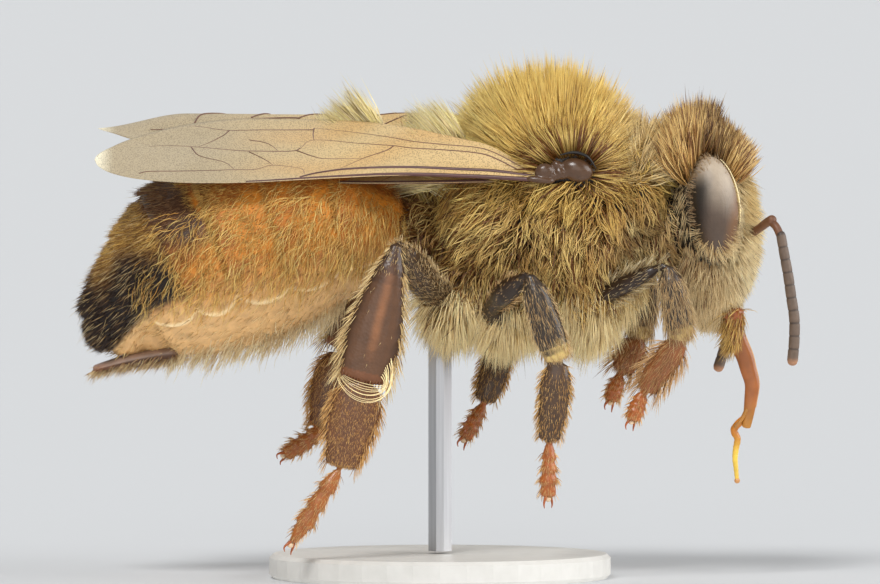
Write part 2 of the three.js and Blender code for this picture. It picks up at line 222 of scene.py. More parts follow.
def evaluated(bm, name, *modifiers):  # a mesh after modifiers, still in millimetres
    mesh = bpy.data.meshes.new(name)
    bmesh.ops.recalc_face_normals(bm, faces=bm.faces)
    bm.to_mesh(mesh)
    bm.free()
    draft = addObject(name, mesh)
    for kind, settings in modifiers:
        modifier = draft.modifiers.new(kind, kind)
        for key, value in settings.items():
            setattr(modifier, key, value)
    shown = draft.evaluated_get(bpy.context.evaluated_depsgraph_get())
    result = bpy.data.meshes.new_from_object(shown)
    bpy.data.objects.remove(draft)
    return result


rounding = ("SUBSURF", {"levels": 1, "render_levels": 1})


def weld(bm, name, voxel, soften):  # one closed skin round overlapping shapes
    return evaluated(
        bm,
        name,
        ("REMESH", {"mode": "VOXEL", "voxel_size": voxel}),
        ("SMOOTH", {"factor": 0.5, "iterations": soften}),
    )


def pointsOf(mesh, field="co"):
    found = np.empty(3 * len(mesh.vertices), dtype=np.float32)
    mesh.vertices.foreach_get(field, found)
    return found.reshape(-1, 3).astype(float)


def readSkin(mesh):  # what a coat needs to know about a skin, in millimetres
    mesh.calc_loop_triangles()
    corners = np.empty(3 * len(mesh.loop_triangles), dtype=np.int32)
    mesh.loop_triangles.foreach_get("vertices", corners)
    return {
        "points": pointsOf(mesh),
        "normals": pointsOf(mesh, "normal"),
        "corners": corners.reshape(-1, 3),
    }


def setTint(mesh, tint):
    layer = mesh.color_attributes.new(name="tint", type="FLOAT_COLOR", domain="POINT")
    values = np.ones((len(mesh.vertices), 4), dtype=np.float32)
    values[:, :3] = tint
    layer.data.foreach_set("color", values.ravel())


def plainTint(colour):
    return lambda points: np.broadcast_to(colour, points.shape)


def addPiece(name, mesh, look, replaced=()):
    # Finishes a millimetre mesh as a piece of the bee.
    mesh.transform(Matrix.Scale(mm, 4))
    mesh.materials.clear()
    mesh.materials.append(look)
    mesh.shade_smooth()
    piece = addObject(name, mesh)
    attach(piece, "root")
    if replaced:
        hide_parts(*replaced)


def addShape(name, bm, look, tint, replaced=(), rounded=True):
    # Finishes a shape made with operators, and gives back its skin for a coat.
    mesh = evaluated(bm, name, *([rounding] if rounded else []))
    setTint(mesh, tint(pointsOf(mesh)))
    skin = readSkin(mesh)
    addPiece(name, mesh, look, replaced)
    return skin


# Materials.
def newLook(name, **sockets):
    look = bpy.data.materials.new(name)
    look.use_nodes = True
    shader = look.node_tree.nodes["Principled BSDF"]
    for socket, value in sockets.items():
        shader.inputs[socket.replace("_", " ")].default_value = value
    return look, look.node_tree, shader


def addNode(tree, kind, **settings):
    node = tree.nodes.new(f"ShaderNode{kind}")
    for key, value in settings.items():
        if key[0].isupper():
            node.inputs[key.replace("_", " ")].default_value = value
        else:
            setattr(node, key, value)
    return node


def addPattern(tree, kind, **settings):  # a pattern that is fixed to the piece
    place = addNode(tree, "TexCoord")
    pattern = addNode(tree, kind, **settings)
    tree.links.new(place.outputs["Object"], pattern.inputs["Vector"])
    return pattern


def addBump(tree, shader, height, distance, strength=1.0):
    bump = addNode(tree, "Bump", Strength=strength, Distance=distance)
    tree.links.new(height, bump.inputs["Height"])
    tree.links.new(bump.outputs["Normal"], shader.inputs["Normal"])


def shadeTint(tree, shader, pattern, fromRange, toRange):
    # The piece's own markings, made a little darker and lighter by a pattern.
    tint = addNode(tree, "Attribute", attribute_name="tint")
    level = addNode(
        tree, "MapRange", From_Min=fromRange[0], From_Max=fromRange[1],
        To_Min=toRange[0], To_Max=toRange[1],
    )
    tree.links.new(pattern, level.inputs["Value"])
    shade = addNode(tree, "VectorMath", operation="SCALE")
    tree.links.new(tint.outputs["Color"], shade.inputs[0])
    tree.links.new(level.outputs["Result"], shade.inputs["Scale"])
    tree.links.new(shade.outputs["Vector"], shader.inputs["Base Color"])
    return shade.outputs["Vector"]


shellFinishes = {
    # The fine patches' scale, and how dark and light they are. The grain's pattern, its
    # settings, depth in metres and strength. Without a grain, the patches are raised.
    "bodyShell": {
        "shader": {"Roughness": 0.5, "Specular_IOR_Level": 0.4}, "patches": (4500, 0.8, 1.15),
        "grain": ("TexNoise", {"Scale": 24000, "Detail": 2.0}, 0.000012, 1.0),
    },
    "legShell": {
        "shader": {"Roughness": 0.3, "Specular_IOR_Level": 0.5}, "patches": (3500, 0.82, 1.15),
        "grain": ("TexVoronoi", {"Scale": 16000}, 0.000006, 0.6),
    },
    "eyeFacets": {
        "shader": {"Roughness": 0.38, "Specular_IOR_Level": 0.45}, "patches": (9000, 0.92, 1.06),
        "grain": ("TexVoronoi", {"Scale": 36000, "Randomness": 0.25}, 0.000008, 0.7),
    },
    "wingVeins": {"shader": {"Roughness": 0.4}, "patches": (6000, 0.85, 1.15)},
    "feelerShell": {"shader": {"Roughness": 0.5}, "patches": (9000, 0.8, 1.15)},
    "mouthShell": {"shader": {"Roughness": 0.28}, "patches": (4000, 0.8, 1.15)},
    "clawShell": {"shader": {"Roughness": 0.25}, "patches": (9000, 0.85, 1.1)},
}


def shellLook(name):
    finish = shellFinishes[name]
    look, tree, shader = newLook(name, **finish["shader"])
    scale, low, high = finish["patches"]
    noise = addPattern(tree, "TexNoise", Scale=scale, Detail=3.0)
    shadeTint(tree, shader, noise.outputs["Fac"], (0.3, 0.7), (low, high))
    if "grain" in finish:
        kind, settings, depth, strength = finish["grain"]
        grain = addPattern(tree, kind, **settings)
        addBump(tree, shader, grain.outputs[0], depth, strength)
    else:
        addBump(tree, shader, noise.outputs["Fac"], 0.00001, 0.5)
    return look


def furLook():
    look, tree, shader = newLook(
        "fur", Roughness=0.42, Specular_IOR_Level=0.55, Sheen_Weight=0.6, Sheen_Roughness=0.35
    )
    noise = addPattern(tree, "TexNoise", Scale=2600, Detail=3.0)
    hair = shadeTint(tree, shader, noise.outputs["Fac"], (0.3, 0.7), (0.9, 1.1))
    tree.links.new(hair, shader.inputs["Sheen Tint"])  # dark hairs keep a dark sheen
    return look


def membraneLook():
    # A clear brownish sheet set all over with tiny dark hairs.
    look, tree, shader = newLook("wingMembrane", Roughness=0.5, Specular_IOR_Level=0.25, Alpha=0.84)
    dots = addPattern(tree, "TexVoronoi", Scale=30000)
    shadeTint(tree, shader, dots.outputs["Distance"], (0.12, 0.5), (0.45, 1.12))
    addBump(tree, shader, dots.outputs["Distance"], 0.000008, 0.6)
    return look


looks = {
    "fur": furLook(),
    "skin": shellLook("bodyShell"),
    "leg": shellLook("legShell"),
    "eye": shellLook("eyeFacets"),
    "membrane": membraneLook(),
    "vein": shellLook("wingVeins"),
    "feeler": shellLook("feelerShell"),
    "mouth": shellLook("mouthShell"),
    "claw": shellLook("clawShell"),
}
print("materials ready")


# The body's own lines, read from the frame.
noseDown = np.array([0.0, 0.0, -1.0])
wingRoot = inBox("tegula_left", 0.5, 0.5, 0.5)
eyeBox = [np.array(corner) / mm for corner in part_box("eye_left")]
eyeMiddle = (eyeBox[0] + eyeBox[1]) / 2
eyeHalf = (eyeBox[1] - eyeBox[0]) / 2
eyeLean = -0.13
neckX = inBox("neck", 0.5, 0.5, 0.5)[0]
waistX = inBox("waist", 0.4, 0.5, 0.5)[0]
headMiddle = inBox("head", 0.38, 0.5, 0.42)
trunkMiddle = inBox("thorax", 0.6, 0.5, 0.5)
hipHeight = inBox("thorax", 0.5, 0.5, 0.25)[2]
legPairs = ("fore", "mid", "hind")

abdomen = {"coat": 0.14, "perRing": 4, "plateStep": 0.085, "lobeEdge": 104, "lobeDepth": 17}
abdomenNodes = [f"abdomen_{ring}" for ring in range(1, 7)]


def rearCut(node):
    # The middle and the facing of the flat cut at the rear of a ring.
    corners = trianglesOf(node)
    cross = crossOf(corners)
    area, facings = np.linalg.norm(cross, axis=1), unit(cross)
    rearward = facings[:, 0] < -0.5
    _, group = np.unique(np.round(facings[rearward], 2), axis=0, return_inverse=True)
    largest = np.bincount(group.ravel(), area[rearward]).argmax()
    facing = unit(cross[rearward][group.ravel() == largest].sum(0))
    flat = facings @ facing > 0.999
    middle = (corners[flat].mean(1) * area[flat, None]).sum(0) / area[flat].sum()
    return middle, facing


def readPlates():
    # A middle and a rearward facing for the front of the first ring and the rear of each.
    cuts = [rearCut(node) for node in abdomenNodes[:-1]]
    front = (inBox(abdomenNodes[0], 1, 0.5, 0.4), unit(2 * cuts[0][1] - cuts[1][1]))
    tailPoints = trianglesOf(abdomenNodes[-1]).reshape(-1, 3)
    tail = tailPoints[(tailPoints @ cuts[-1][1]).argmax()]
    cuts = [front, *cuts, (tail * [1, 0, 1], cuts[-1][1])]
    return np.array([middle for middle, _ in cuts]), np.array([facing for _, facing in cuts])


plateMiddles, plateFacings = readPlates()


def alongAbdomen(points):
    # Each point's ring and share of it, its angle down from the top, and the way rearward.
    depth = ((points[:, None] - plateMiddles) * plateFacings).sum(2)
    ring = np.clip((depth > 0).sum(1), 1, 6)
    rows = np.arange(len(points))
    ahead, behind = depth[rows, ring - 1], -depth[rows, ring]
    share = np.clip(ahead / np.maximum(ahead + behind, 1e-6), 0, 1)[:, None]
    run = unit(plateFacings[ring - 1] * (1 - share) + plateFacings[ring] * share)
    out = points - (plateMiddles[ring - 1] * (1 - share) + plateMiddles[ring] * share)
    rise = np.column_stack([run[:, 2], np.zeros(len(run)), -run[:, 0]])
    angle = np.degrees(np.arctan2(np.abs(points[:, 1]), (out * rise).sum(1)))
    return ring, share[:, 0], angle, run


def abdomenSections():
    # Centres and half sizes of cuts through the abdomen, each turned with its plates.
    corners = trianglesOf(*abdomenNodes)
    centres, halves = [], []
    for place in np.linspace(0.15, 5.56, 6 * abdomen["perRing"]):
        ring, share = int(place), float(np.clip(place % 1, 0.08, 0.92))  # clear of the cuts
        at = plateMiddles[ring] * (1 - share) + plateMiddles[ring + 1] * share
        facing = unit(plateFacings[ring] * (1 - share) + plateFacings[ring + 1] * share)
        rise = np.array([facing[2], 0, -facing[0]])
        cut = cutAcross(corners, at, facing) - at
        width = np.abs(cut[:, 1]).max()
        heights = (cut @ rise)[np.abs(cut[:, 1]) > width / 2]
        centres.append(at + rise * (heights.max() + heights.min()) / 2)
        halves.append([width, np.ptp(heights) / math.sqrt(3)])
    centres, halves = np.array(centres), np.array(halves)
    for column in (centres[:, 0], centres[:, 2], halves[:, 0], halves[:, 1]):
        column[1:-1] = np.convolve(column, [0.25, 0.5, 0.25], "valid")
    return centres, halves


spine, spineHalves = abdomenSections()


# Skin: one closed surface for the head, neck, trunk, waist and abdomen.
bodyWeld = {"voxel": 0.062, "soften": 8}
bodyBlobs = {  # what is welded into the skin: places in each node's box, half sizes and leans
    "head": {
        "skull": [(0.39, 0.5, 0.5), (0.72, 1.46, 1.3)],
        "cheeks": [(0.42, 0.5, 0.27), (0.62, 1.12, 1.12)],
        "face": [(0.6, 0.5, 0.36), (0.45, 0.98, 1.1)],
        "brow": [(0.5, 0.5, 0.6), (0.42, 0.98, 0.72)],
    },
    "thorax": {
        "dome": [(0.60, 0.5, 0.485), (2.02, 1.74, 1.95)],
        "collar": [(0.96, 0.5, 0.56), (0.45, 1.05, 0.85)],
        "scutellum": [(0.30, 0.5, 0.63), (0.62, 0.95, 0.52)],
        "breast": [(0.66, 0.5, 0.27), (1.6, 1.25, 0.88)],
        "hips": [(0.38, 0.5, 0.28), (0.95, 1.0, 0.78)],
    },
    "abdomen_1": {"underWings": [(0.58, 0.5, 0.65), (0.85, 0.55, 0.62), -0.35]},
    "abdomen_6": {
        "tip": [(0.17, 0.5, 0.4), (0.42, 0.66, 0.52)],
        "middle": [(0.5, 0.5, 0.27), (0.62, 0.58, 0.38)],
        "front": [(0.86, 0.5, 0.26), (0.5, 0.62, 0.4)],
    },
    "neck": {"neck": [(0.4, 0.5, 0.5), (0.75, 0.62, 0.72)]},
    "waist": {"waist": [(0.5, 0.5, 0.4), (0.7, 0.6, 0.55)]},
}
eyeSockets = {  # offsets from an eye's middle, half depths, and shares of the eye's half sizes
    "under": [(0, -0.34, 0), 0.42, (1.01, 0.98)],
    "behind": [(-0.17, -0.28, 0), 0.46, (1.0, 0.96)],
}
wingSocket = [(-0.1, -0.42, -0.06), (0.72, 0.42, 0.46)]  # an offset from the root and half sizes
hip = [(0, 0, 0.08), (0.36, 0.36, 0.4)]  # an offset from a leg's first cut and half sizes
tail = {"tuck": 0.3, "reach": 1.5}  # how far the last ring is drawn in, and from how far forward


def besideHip(femur):  # a place inside the trunk, beside the top of a leg
    return inBox("thorax", 0.5, 0.5, 0.3) * [0, 1, 1] + inBox(femur, 0.5, 0, 0) * [1, 0, 0]


def hipPlace(femur):  # where a leg meets the trunk
    return sectionsOf(femur, 3, besideHip(femur), 0.1)[0][0]


def makeBodySkin():
    bm = bmesh.new()
    for node, blobs in bodyBlobs.items():
        for at, half, *lean in blobs.values():
            ball(bm, inBox(node, *at), half, *lean)
    for side, sign in sides.items():
        mirror = [1, sign, 1]
        for at, depth, (length, height) in eyeSockets.values():
            half = (eyeHalf[0] * length, depth, eyeHalf[2] * height)
            ball(bm, (eyeMiddle + at) * mirror, half, lean=eyeLean)
        ball(bm, (wingRoot + wingSocket[0]) * mirror, wingSocket[1])
        for pair in legPairs:
            ball(bm, hipPlace(f"leg_{pair}_{side}_femur") + hip[0], hip[1])
    loft(bm, spine, spineHalves - abdomen["coat"], around=40)
    return weld(bm, "body_skin", **bodyWeld)


lastPlate = {  # its ends in the last ring's box, its bow, and half sizes from front to rear
    "front": (0.95, 0.5, 0.19), "rear": (0.17, 0.5, 0.075), "bow": 0.03, "rings": 7,
    "widths": (0.7, 0.34), "depths": (0.19, 0.085),
}


def lastPlateSections():
    # The last plate reaches back below the tip, along the lower edge of the rearmost ring.
    front, rear = (inBox("abdomen_6", *lastPlate[end]) for end in ("front", "rear"))
    middle = (rear + front) / 2 + [0, 0, lastPlate["bow"]]
    centres = smoothPath([front, middle, rear], lastPlate["rings"])
    spans = [np.linspace(*lastPlate[key], lastPlate["rings"]) for key in ("widths", "depths")]
    return centres, np.column_stack(spans)


def lobeEdge(share):  # how far down each plate of the back reaches, in degrees from the top
    bulge = np.sqrt(np.clip(1 - (1.7 * share - 0.85) ** 2, 0, 1))
    return abdomen["lobeEdge"] + abdomen["lobeDepth"] * bulge


def plateHeight(points):  # how far each plate of the abdomen stands up over the next
    _, share, angle, _ = alongAbdomen(points)
    edge = lobeEdge(share)
    upper = 1 - ease(edge - 1.5, edge + 1.5, angle)
    step = abdomen["plateStep"] * (share - 0.5)
    return step * (0.35 + 0.65 * upper) + 0.06 * upper - 0.03


# Markings, shared by the skin and the coat.
furPaints = {
    "under": paint(110, 74, 48),  # what the dark hairs between the bright ones are dimmed by
    "gold": paint(255, 224, 130),
    "straw": paint(255, 238, 158),
    "brownTip": paint(112, 80, 54),
    "sideStraw": paint(255, 224, 142),
    "orange": paint(255, 204, 100),
    "cream": paint(255, 234, 178),
    "paleCream": paint(255, 240, 196),
    "yellow": paint(255, 234, 150),
    "bandYellow": paint(255, 214, 120),
    "amber": paint(250, 192, 92),
    "grey": paint(250, 228, 176),
    "dusk": paint(166, 128, 90),
    "soot": paint(50, 35, 26),
    "crownGold": paint(255, 222, 148),
    "tan": paint(222, 186, 124),
    "crownDark": paint(92, 62, 40),
}
shellPaints = {
    "topShell": paint(196, 150, 78),
    "sideShell": paint(26, 18, 12),
    "bellyShell": paint(224, 190, 138),
    "headShell": paint(22, 18, 15),
    "faceShell": paint(214, 186, 122),
    "amber": paint(212, 134, 42),
    "rust": paint(152, 78, 28),
    "umber": paint(74, 44, 22),
    "black": paint(26, 19, 15),
    "plateCream": paint(212, 170, 114),
    "plateRim": paint(250, 224, 174),
    "lastPlate": paint(140, 116, 100),
    "plateEdge": paint(88, 76, 66),
}


def awayFromWing(points):  # along the trunk, away from the root of the wing on that side
    root = np.column_stack([
        np.full(len(points), wingRoot[0]),
        np.sign(points[:, 1]) * wingRoot[1],
        np.full(len(points), wingRoot[2] - 0.1),
    ])
    return points - root


def mottle(points, size):  # slow patches, from 0 to 1
    wander = np.sin(points[:, 0] * size + 1.7 * np.sin(points[:, 2] * size * 0.8))
    return 0.5 + 0.5 * wander * np.sin(points[:, 2] * size * 1.3 + np.abs(points[:, 1]) * size)


def bareEdge(ring, share, angle):  # the smooth rear edge of the fourth plate, on the back
    return (ring == 4) * ease(0.86, 0.92, share) * (1 - ease(42, 56, angle))


def abdomenTint(points):
    ring, place, angle, _ = alongAbdomen(points)
    share = place + 0.16 * (mottle(points, 8.3) - 0.5)
    upper = 1 - ease(70, 92, angle)
    rearFour = (ring == 4) * ease(0.34, 0.54, share + angle / 200)
    spot = np.exp(-(((share - 0.5) / 0.34) ** 2) - ((angle - 70) / 9) ** 2) * (ring == 4)
    dusk = (ring == 5) * ease(62, 92, angle + 34 * share) * (1 - ease(98, 108, angle))
    below = (ring == 6) * (1 - ease(0.1, 0.6, share)) * (1 - ease(30, 60, angle))
    edge = lobeEdge(place)
    lower = ease(84, edge, angle) * (ring <= 4) + ease(98, 108, angle) * (ring >= 5)
    return paintOver(
        shellPaints,
        shellPaints["amber"],
        ("rust", 0.5 * ease(0.55, 0.95, share)),
        ("rust", 0.6 * ease(0.55, 0.8, mottle(points, 4.3))),
        ("rust", 0.7 * (1 - ease(38, 58, angle))),
        ("umber", (ring == 3) * ease(0.8, 1.0, share) * 0.6 * upper),
        ("umber", rearFour * (1 - ease(62, 84, angle))),
        ("black", spot * 0.85),
        ("umber", (ring == 5) * 0.9 * (1 - ease(80, 100, angle))),
        ("black", dusk),
        ("black", (ring == 6) * (1 - ease(104, 116, angle))),
        ("umber", below * 0.8),
        ("plateEdge", bareEdge(ring, place, angle)),
        ("plateCream", np.clip(lower, 0, 1) * 0.92),
        ("plateRim", window(edge - 3.5, edge - 0.5, 1.5, angle) * (ring <= 5) * 0.85),
    )


def trunkTint(points):
    up = ease(wingRoot[2] - 0.7, wingRoot[2] + 0.3, points[:, 2])
    tint = blendTint(shellPaints["sideShell"], shellPaints["topShell"], up)
    near = 1 - ease(0.5, 0.9, np.linalg.norm(awayFromWing(points), axis=1))
    tint = blendTint(tint, shellPaints["sideShell"], near)
    belly = 1 - ease(trunkMiddle[2] - 1.9, trunkMiddle[2] - 1.5, points[:, 2])
    return blendTint(tint, shellPaints["bellyShell"], belly * 0.9)


def headTint(points):
    forward = ease(eyeMiddle[0] + 0.2, eyeMiddle[0] + 0.5, points[:, 0])
    return blendTint(shellPaints["headShell"], shellPaints["faceShell"], forward * 0.8)


def bodyTint(points):
    tint = trunkTint(points)
    tint = blendTint(tint, headTint(points), ease(neckX - 0.05, neckX + 0.05, points[:, 0]))
    return blendTint(tint, abdomenTint(points), 1 - ease(waistX - 0.25, waistX, points[:, 0]))


def buildBodySkin():
    mesh = makeBodySkin()
    points = pointsOf(mesh)
    behind = 1 - ease(waistX - 0.5, waistX, points[:, 0])
    points += pointsOf(mesh, "normal") * (plateHeight(points) * behind)[:, None]
    rear = inBox("abdomen_6", 0, 0.5, 0.5)[0]
    drawn = 1 - ease(rear, rear + tail["reach"], points[:, 0])
    points[:, 0] += tail["tuck"] * drawn
    mesh.vertices.foreach_set("co", points.astype(np.float32).ravel())
    mesh.update()
    setTint(mesh, bodyTint(points))
    return mesh


def buildLastPlate():
    # The lower plate at the rear tip, grey brown and stubbly, with painted shade where it faces
    # down and some rust towards its tip.
    bm = bmesh.new()
    centres, halves = lastPlateSections()
    loft(bm, *roundEnds(centres, halves), around=24)
    mesh = evaluated(bm, "last_plate", rounding)
    points, normals = pointsOf(mesh), pointsOf(mesh, "normal")
    # Painted shade on the faces that turn down.
    tint = blendTint(shellPaints["lastPlate"], shellPaints["umber"], ease(0, 0.7, -normals[:, 2]))
    tip = 1 - ease(centres[-1, 0] - 0.1, centres[-1, 0] + 0.4, points[:, 0])
    setTint(mesh, blendTint(tint, shellPaints["rust"], tip * 0.35))
    skin = readSkin(mesh)
    addPiece("last_plate", mesh, looks["skin"])
    return skin


bodyMesh = buildBodySkin()
bodySkin = readSkin(bodyMesh)
fleshNodes = ["thorax", "neck", "head", "waist", *abdomenNodes]
addPiece("body_skin", bodyMesh, looks["skin"], fleshNodes)
print("body skin", len(bodySkin["corners"]), "triangles")


# Hair: thin closed strands, joined into a few coat pieces.
patchSize = 0.003  # side of a strand's patch on the bake map
coatDefaults = {  # what a coat has where its own settings say nothing
    "clump": 0.0,  # how far a hair is drawn to the leader of its lock
    "lock": 9,  # hairs to a lock
    "stray": 0.12,  # how much a hair leaves the coat's lie
    "wave": 0.0,  # how wavy a hair is
    "curls": 1.2,  # waves along a hair
    "sink": 0.03,  # how deep a root is in the skin
    "fading": 0.7,  # below 1, a hair soon has the colour of its tip
    "dullest": 0.74,  # brightness of the dullest hairs
    "shaded": 0.1,  # how much darker a lock can be than the next
    "under": 0.1,  # share of dark hairs
}


def scatter(skin, density, count, random):
    # Roots spread over a skin in step with a density, with the skin's normals there.
    corners = skin["points"][skin["corners"]]
    weight = np.linalg.norm(crossOf(corners), axis=1) * density(corners.mean(1))
    chosen = random.choice(len(weight), count, p=weight / weight.sum())
    first, second = np.sqrt(random.random(count)), random.random(count)
    shares = np.column_stack([1 - first, first * (1 - second), first * second])
    roots = (corners[chosen] * shares[:, :, None]).sum(1)
    normals = (skin["normals"][skin["corners"][chosen]] * shares[:, :, None]).sum(1)
    return roots, unit(normals)


def growPaths(roots, normals, coat, leaders, random):
    # The line of each strand: it leaves the skin at its lift and bends towards its pull.
    count, steps = len(roots), coat["rings"]
    lie = unit(coat["lie"] - (coat["lie"] * normals).sum(1, keepdims=True) * normals)
    lift = np.radians(np.broadcast_to(coat["lift"], count))[:, None]
    lift = lift + random.normal(0, 0.13, (count, 1))
    aside = np.cross(normals, lie)
    stray = random.normal(0, coat["stray"], (count, 1))
    start = unit(normals * np.sin(lift) + (lie + aside * stray) * np.cos(lift))
    length = np.broadcast_to(coat["length"], count)[:, None]
    length = length * random.uniform(0.62, 1.1, (count, 1))
    length = length * np.where(random.random((count, 1)) < 0.08, 1.2, 1)
    phase = random.uniform(0, 2 * math.pi, (count, 1))
    wave = coat["wave"] * random.uniform(0.4, 1.6, (count, 1))
    points = [roots - normals * coat["sink"]]
    for step in range(steps):
        share = (step + 0.5) / steps
        turn = phase + 2 * math.pi * coat["curls"] * share
        sway = aside * np.cos(turn) + normals * np.sin(turn)
        way = unit(start + coat["pull"] * share + sway * wave)
        points.append(points[-1] + way * length / steps)
    paths = np.stack(points, 1)
    reach = np.linspace(0, 1, paths.shape[1])[None, :, None] ** 1.4
    draw = coat["clump"] * random.uniform(0.3, 1.2, (count, 1, 1)) * reach
    return paths + draw * (paths[leaders] - paths)


def lockLeaders(roots, size):  # for each strand, the near one its lock gathers to
    rows = np.arange(0, len(roots), size)
    return rows[nearestRow(roots[rows], roots)]


def strandMesh(name, paths, widths, rootTint, tipTint, spots, fading):
    # Three-sided tapered strands, each with its own small patch on the bake map.
    count, rings = len(paths), paths.shape[1] - 1
    runs = unit(np.gradient(paths, axis=1))
    first = unit(np.cross(runs, np.array([0.31, 0.27, 0.91])))
    second = np.cross(runs, first)
    shares = np.arange(rings) / rings
    taper = 1 - 0.62 * shares**1.5
    turns = 2 * math.pi * np.arange(3) / 3
    half = widths[:, None, None, None] / 2 * taper[None, :, None, None]
    across = first[:, :rings, None] * np.cos(turns)[:, None]
    across = across + second[:, :rings, None] * np.sin(turns)[:, None]
    shell = paths[:, :rings, None] + across * half
    points = np.concatenate([shell.reshape(count, -1, 3), paths[:, -1:]], 1)
    perStrand = 3 * rings + 1
    faces, places = [(0, 2, 1)], [((0, 0), (0.6, 0), (0.3, 0.3 / rings))]
    for ring in range(rings):
        for corner in range(3):
            here, there = 3 * ring + corner, 3 * ring + (corner + 1) % 3
            left, right, low = corner / 3, (corner + 1) / 3, ring / rings
            if ring == rings - 1:
                faces.append((here, there, 3 * rings))
                places.append(((left, low), (right, low), ((left + right) / 2, 1)))
                continue
            high = (ring + 1) / rings
            faces += [(here, there, there + 3), (here, there + 3, here + 3)]
            places += [((left, low), (right, low), (right, high))]
            places += [((left, low), (right, high), (left, high))]
    faces, places = np.array(faces), np.array(places)
    allFaces = (faces[None] + perStrand * np.arange(count)[:, None, None]).reshape(-1, 3)
    allPlaces = spots[:, None, None, :] * (1 - patchSize) + places[None] * patchSize
    mesh = bpy.data.meshes.new(name)
    mesh.vertices.add(count * perStrand)
    mesh.vertices.foreach_set("co", points.astype(np.float32).ravel())
    mesh.loops.add(allFaces.size)
    mesh.loops.foreach_set("vertex_index", allFaces.astype(np.int32).ravel())
    mesh.polygons.add(len(allFaces))
    mesh.polygons.foreach_set("loop_start", np.arange(0, allFaces.size, 3, dtype=np.int32))
    mesh.update(calc_edges=True)
    layer = mesh.uv_layers.new(name="OFBake")
    layer.data.foreach_set("uv", allPlaces.astype(np.float32).ravel())
    fade = np.append(np.repeat(shares, 3), 1.0) ** fading
    tint = blendTint(rootTint[:, None], tipTint[:, None], np.broadcast_to(fade, (count, perStrand)))
    setTint(mesh, tint.reshape(-1, 3))
    return mesh


def bodySpots(roots):
    # Where roots lie on an unrolled skin: how far back, and the angle round it.
    rear, front = spine[-1, 0] - 0.5, headMiddle[0] + 1.1
    back = (roots[:, 0] - rear) / (front - rear)
    height = np.where(
        roots[:, 0] < waistX,
        np.interp(roots[:, 0], spine[::-1, 0], spine[::-1, 2]),
        trunkMiddle[2] - 0.3,
    )
    angle = np.arctan2(roots[:, 1], roots[:, 2] - height) / (2 * math.pi) + 0.5
    return np.clip(np.column_stack([back, angle]), 0, 1)


def growCoat(name, skin, density, style, settings, spotsOf=bodySpots, shift=0):
    # A coat's hairs, the seed being shifted so that the two sides differ.
    random = np.random.default_rng(settings["seed"] + shift)
    roots, normals = scatter(skin, density, settings["count"], random)
    coat = {**coatDefaults, **settings, **style(roots, normals, random)}
    leaders = lockLeaders(roots, coat["lock"])
    paths = growPaths(roots, normals, coat, leaders, random)
    widths = coat["width"] * random.uniform(0.7, 1.3, len(roots))
    glow = random.uniform(coat["dullest"], 1.12, len(roots))
    glow = glow * (1 - coat["shaded"] * random.random(len(roots))[leaders])
    under = random.random(len(roots)) < coat["under"]
    tip = np.where(under[:, None], coat["tipTint"] * furPaints["under"], coat["tipTint"])
    # A root is mostly darker than its tip: painted shade deep in the coat.
    root = np.minimum(darker(coat["rootTint"], glow), 1)
    tip = np.minimum(darker(tip, glow), 1)
    mesh = strandMesh(name, paths, widths, root, tip, spotsOf(roots), coat["fading"])
    addPiece(name, mesh, looks["fur"])
    print(name, len(mesh.polygons), "triangles")


def inEye(points):  # how far out of an eye's middle a point lies, its outline being at 1
    aside = (np.abs(points[:, 1:2]) - eyeMiddle[1]) / eyeHalf[1] * 0.6
    along = (points[:, [0, 2]] - eyeMiddle[[0, 2]]) / eyeHalf[[0, 2]]
    return np.linalg.norm(np.column_stack([along, aside]), axis=1)


def onTrunk(points):
    return window(waistX - 0.15, neckX + 0.1, 0.1, points[:, 0])


def onAbdomen(points):
    return 1 - ease(waistX - 0.4, waistX - 0.1, points[:, 0])


def onHead(points):
    return ease(neckX + 0.05, neckX + 0.2, points[:, 0])


def clearOfWingRoot(points):  # a bare spot round each wing root
    off = (points[:, [0, 2]] - wingRoot[[0, 2]] - [-0.1, 0]) / [0.38, 0.2]
    return (np.linalg.norm(off, axis=1) > 1) | (np.abs(points[:, 1]) < wingRoot[1] * 0.5)


def swirl(points, size):  # a slow wander of the coat's lie
    first = np.sin(points[:, 0] * 3.1 + points[:, 2] * 1.9)
    second = np.sin(points[:, 2] * 3.7 - points[:, 0] * 1.3 + 0.8)
    return np.column_stack([first, np.zeros(len(points)), second]) * size


backCoat = {
    "count": 17500, "seed": 11, "rings": 2, "width": 0.028, "clump": 0.6, "lock": 7, "stray": 0.18,
    "fading": 0.8, "dullest": 0.75, "shaded": 0.3,
}


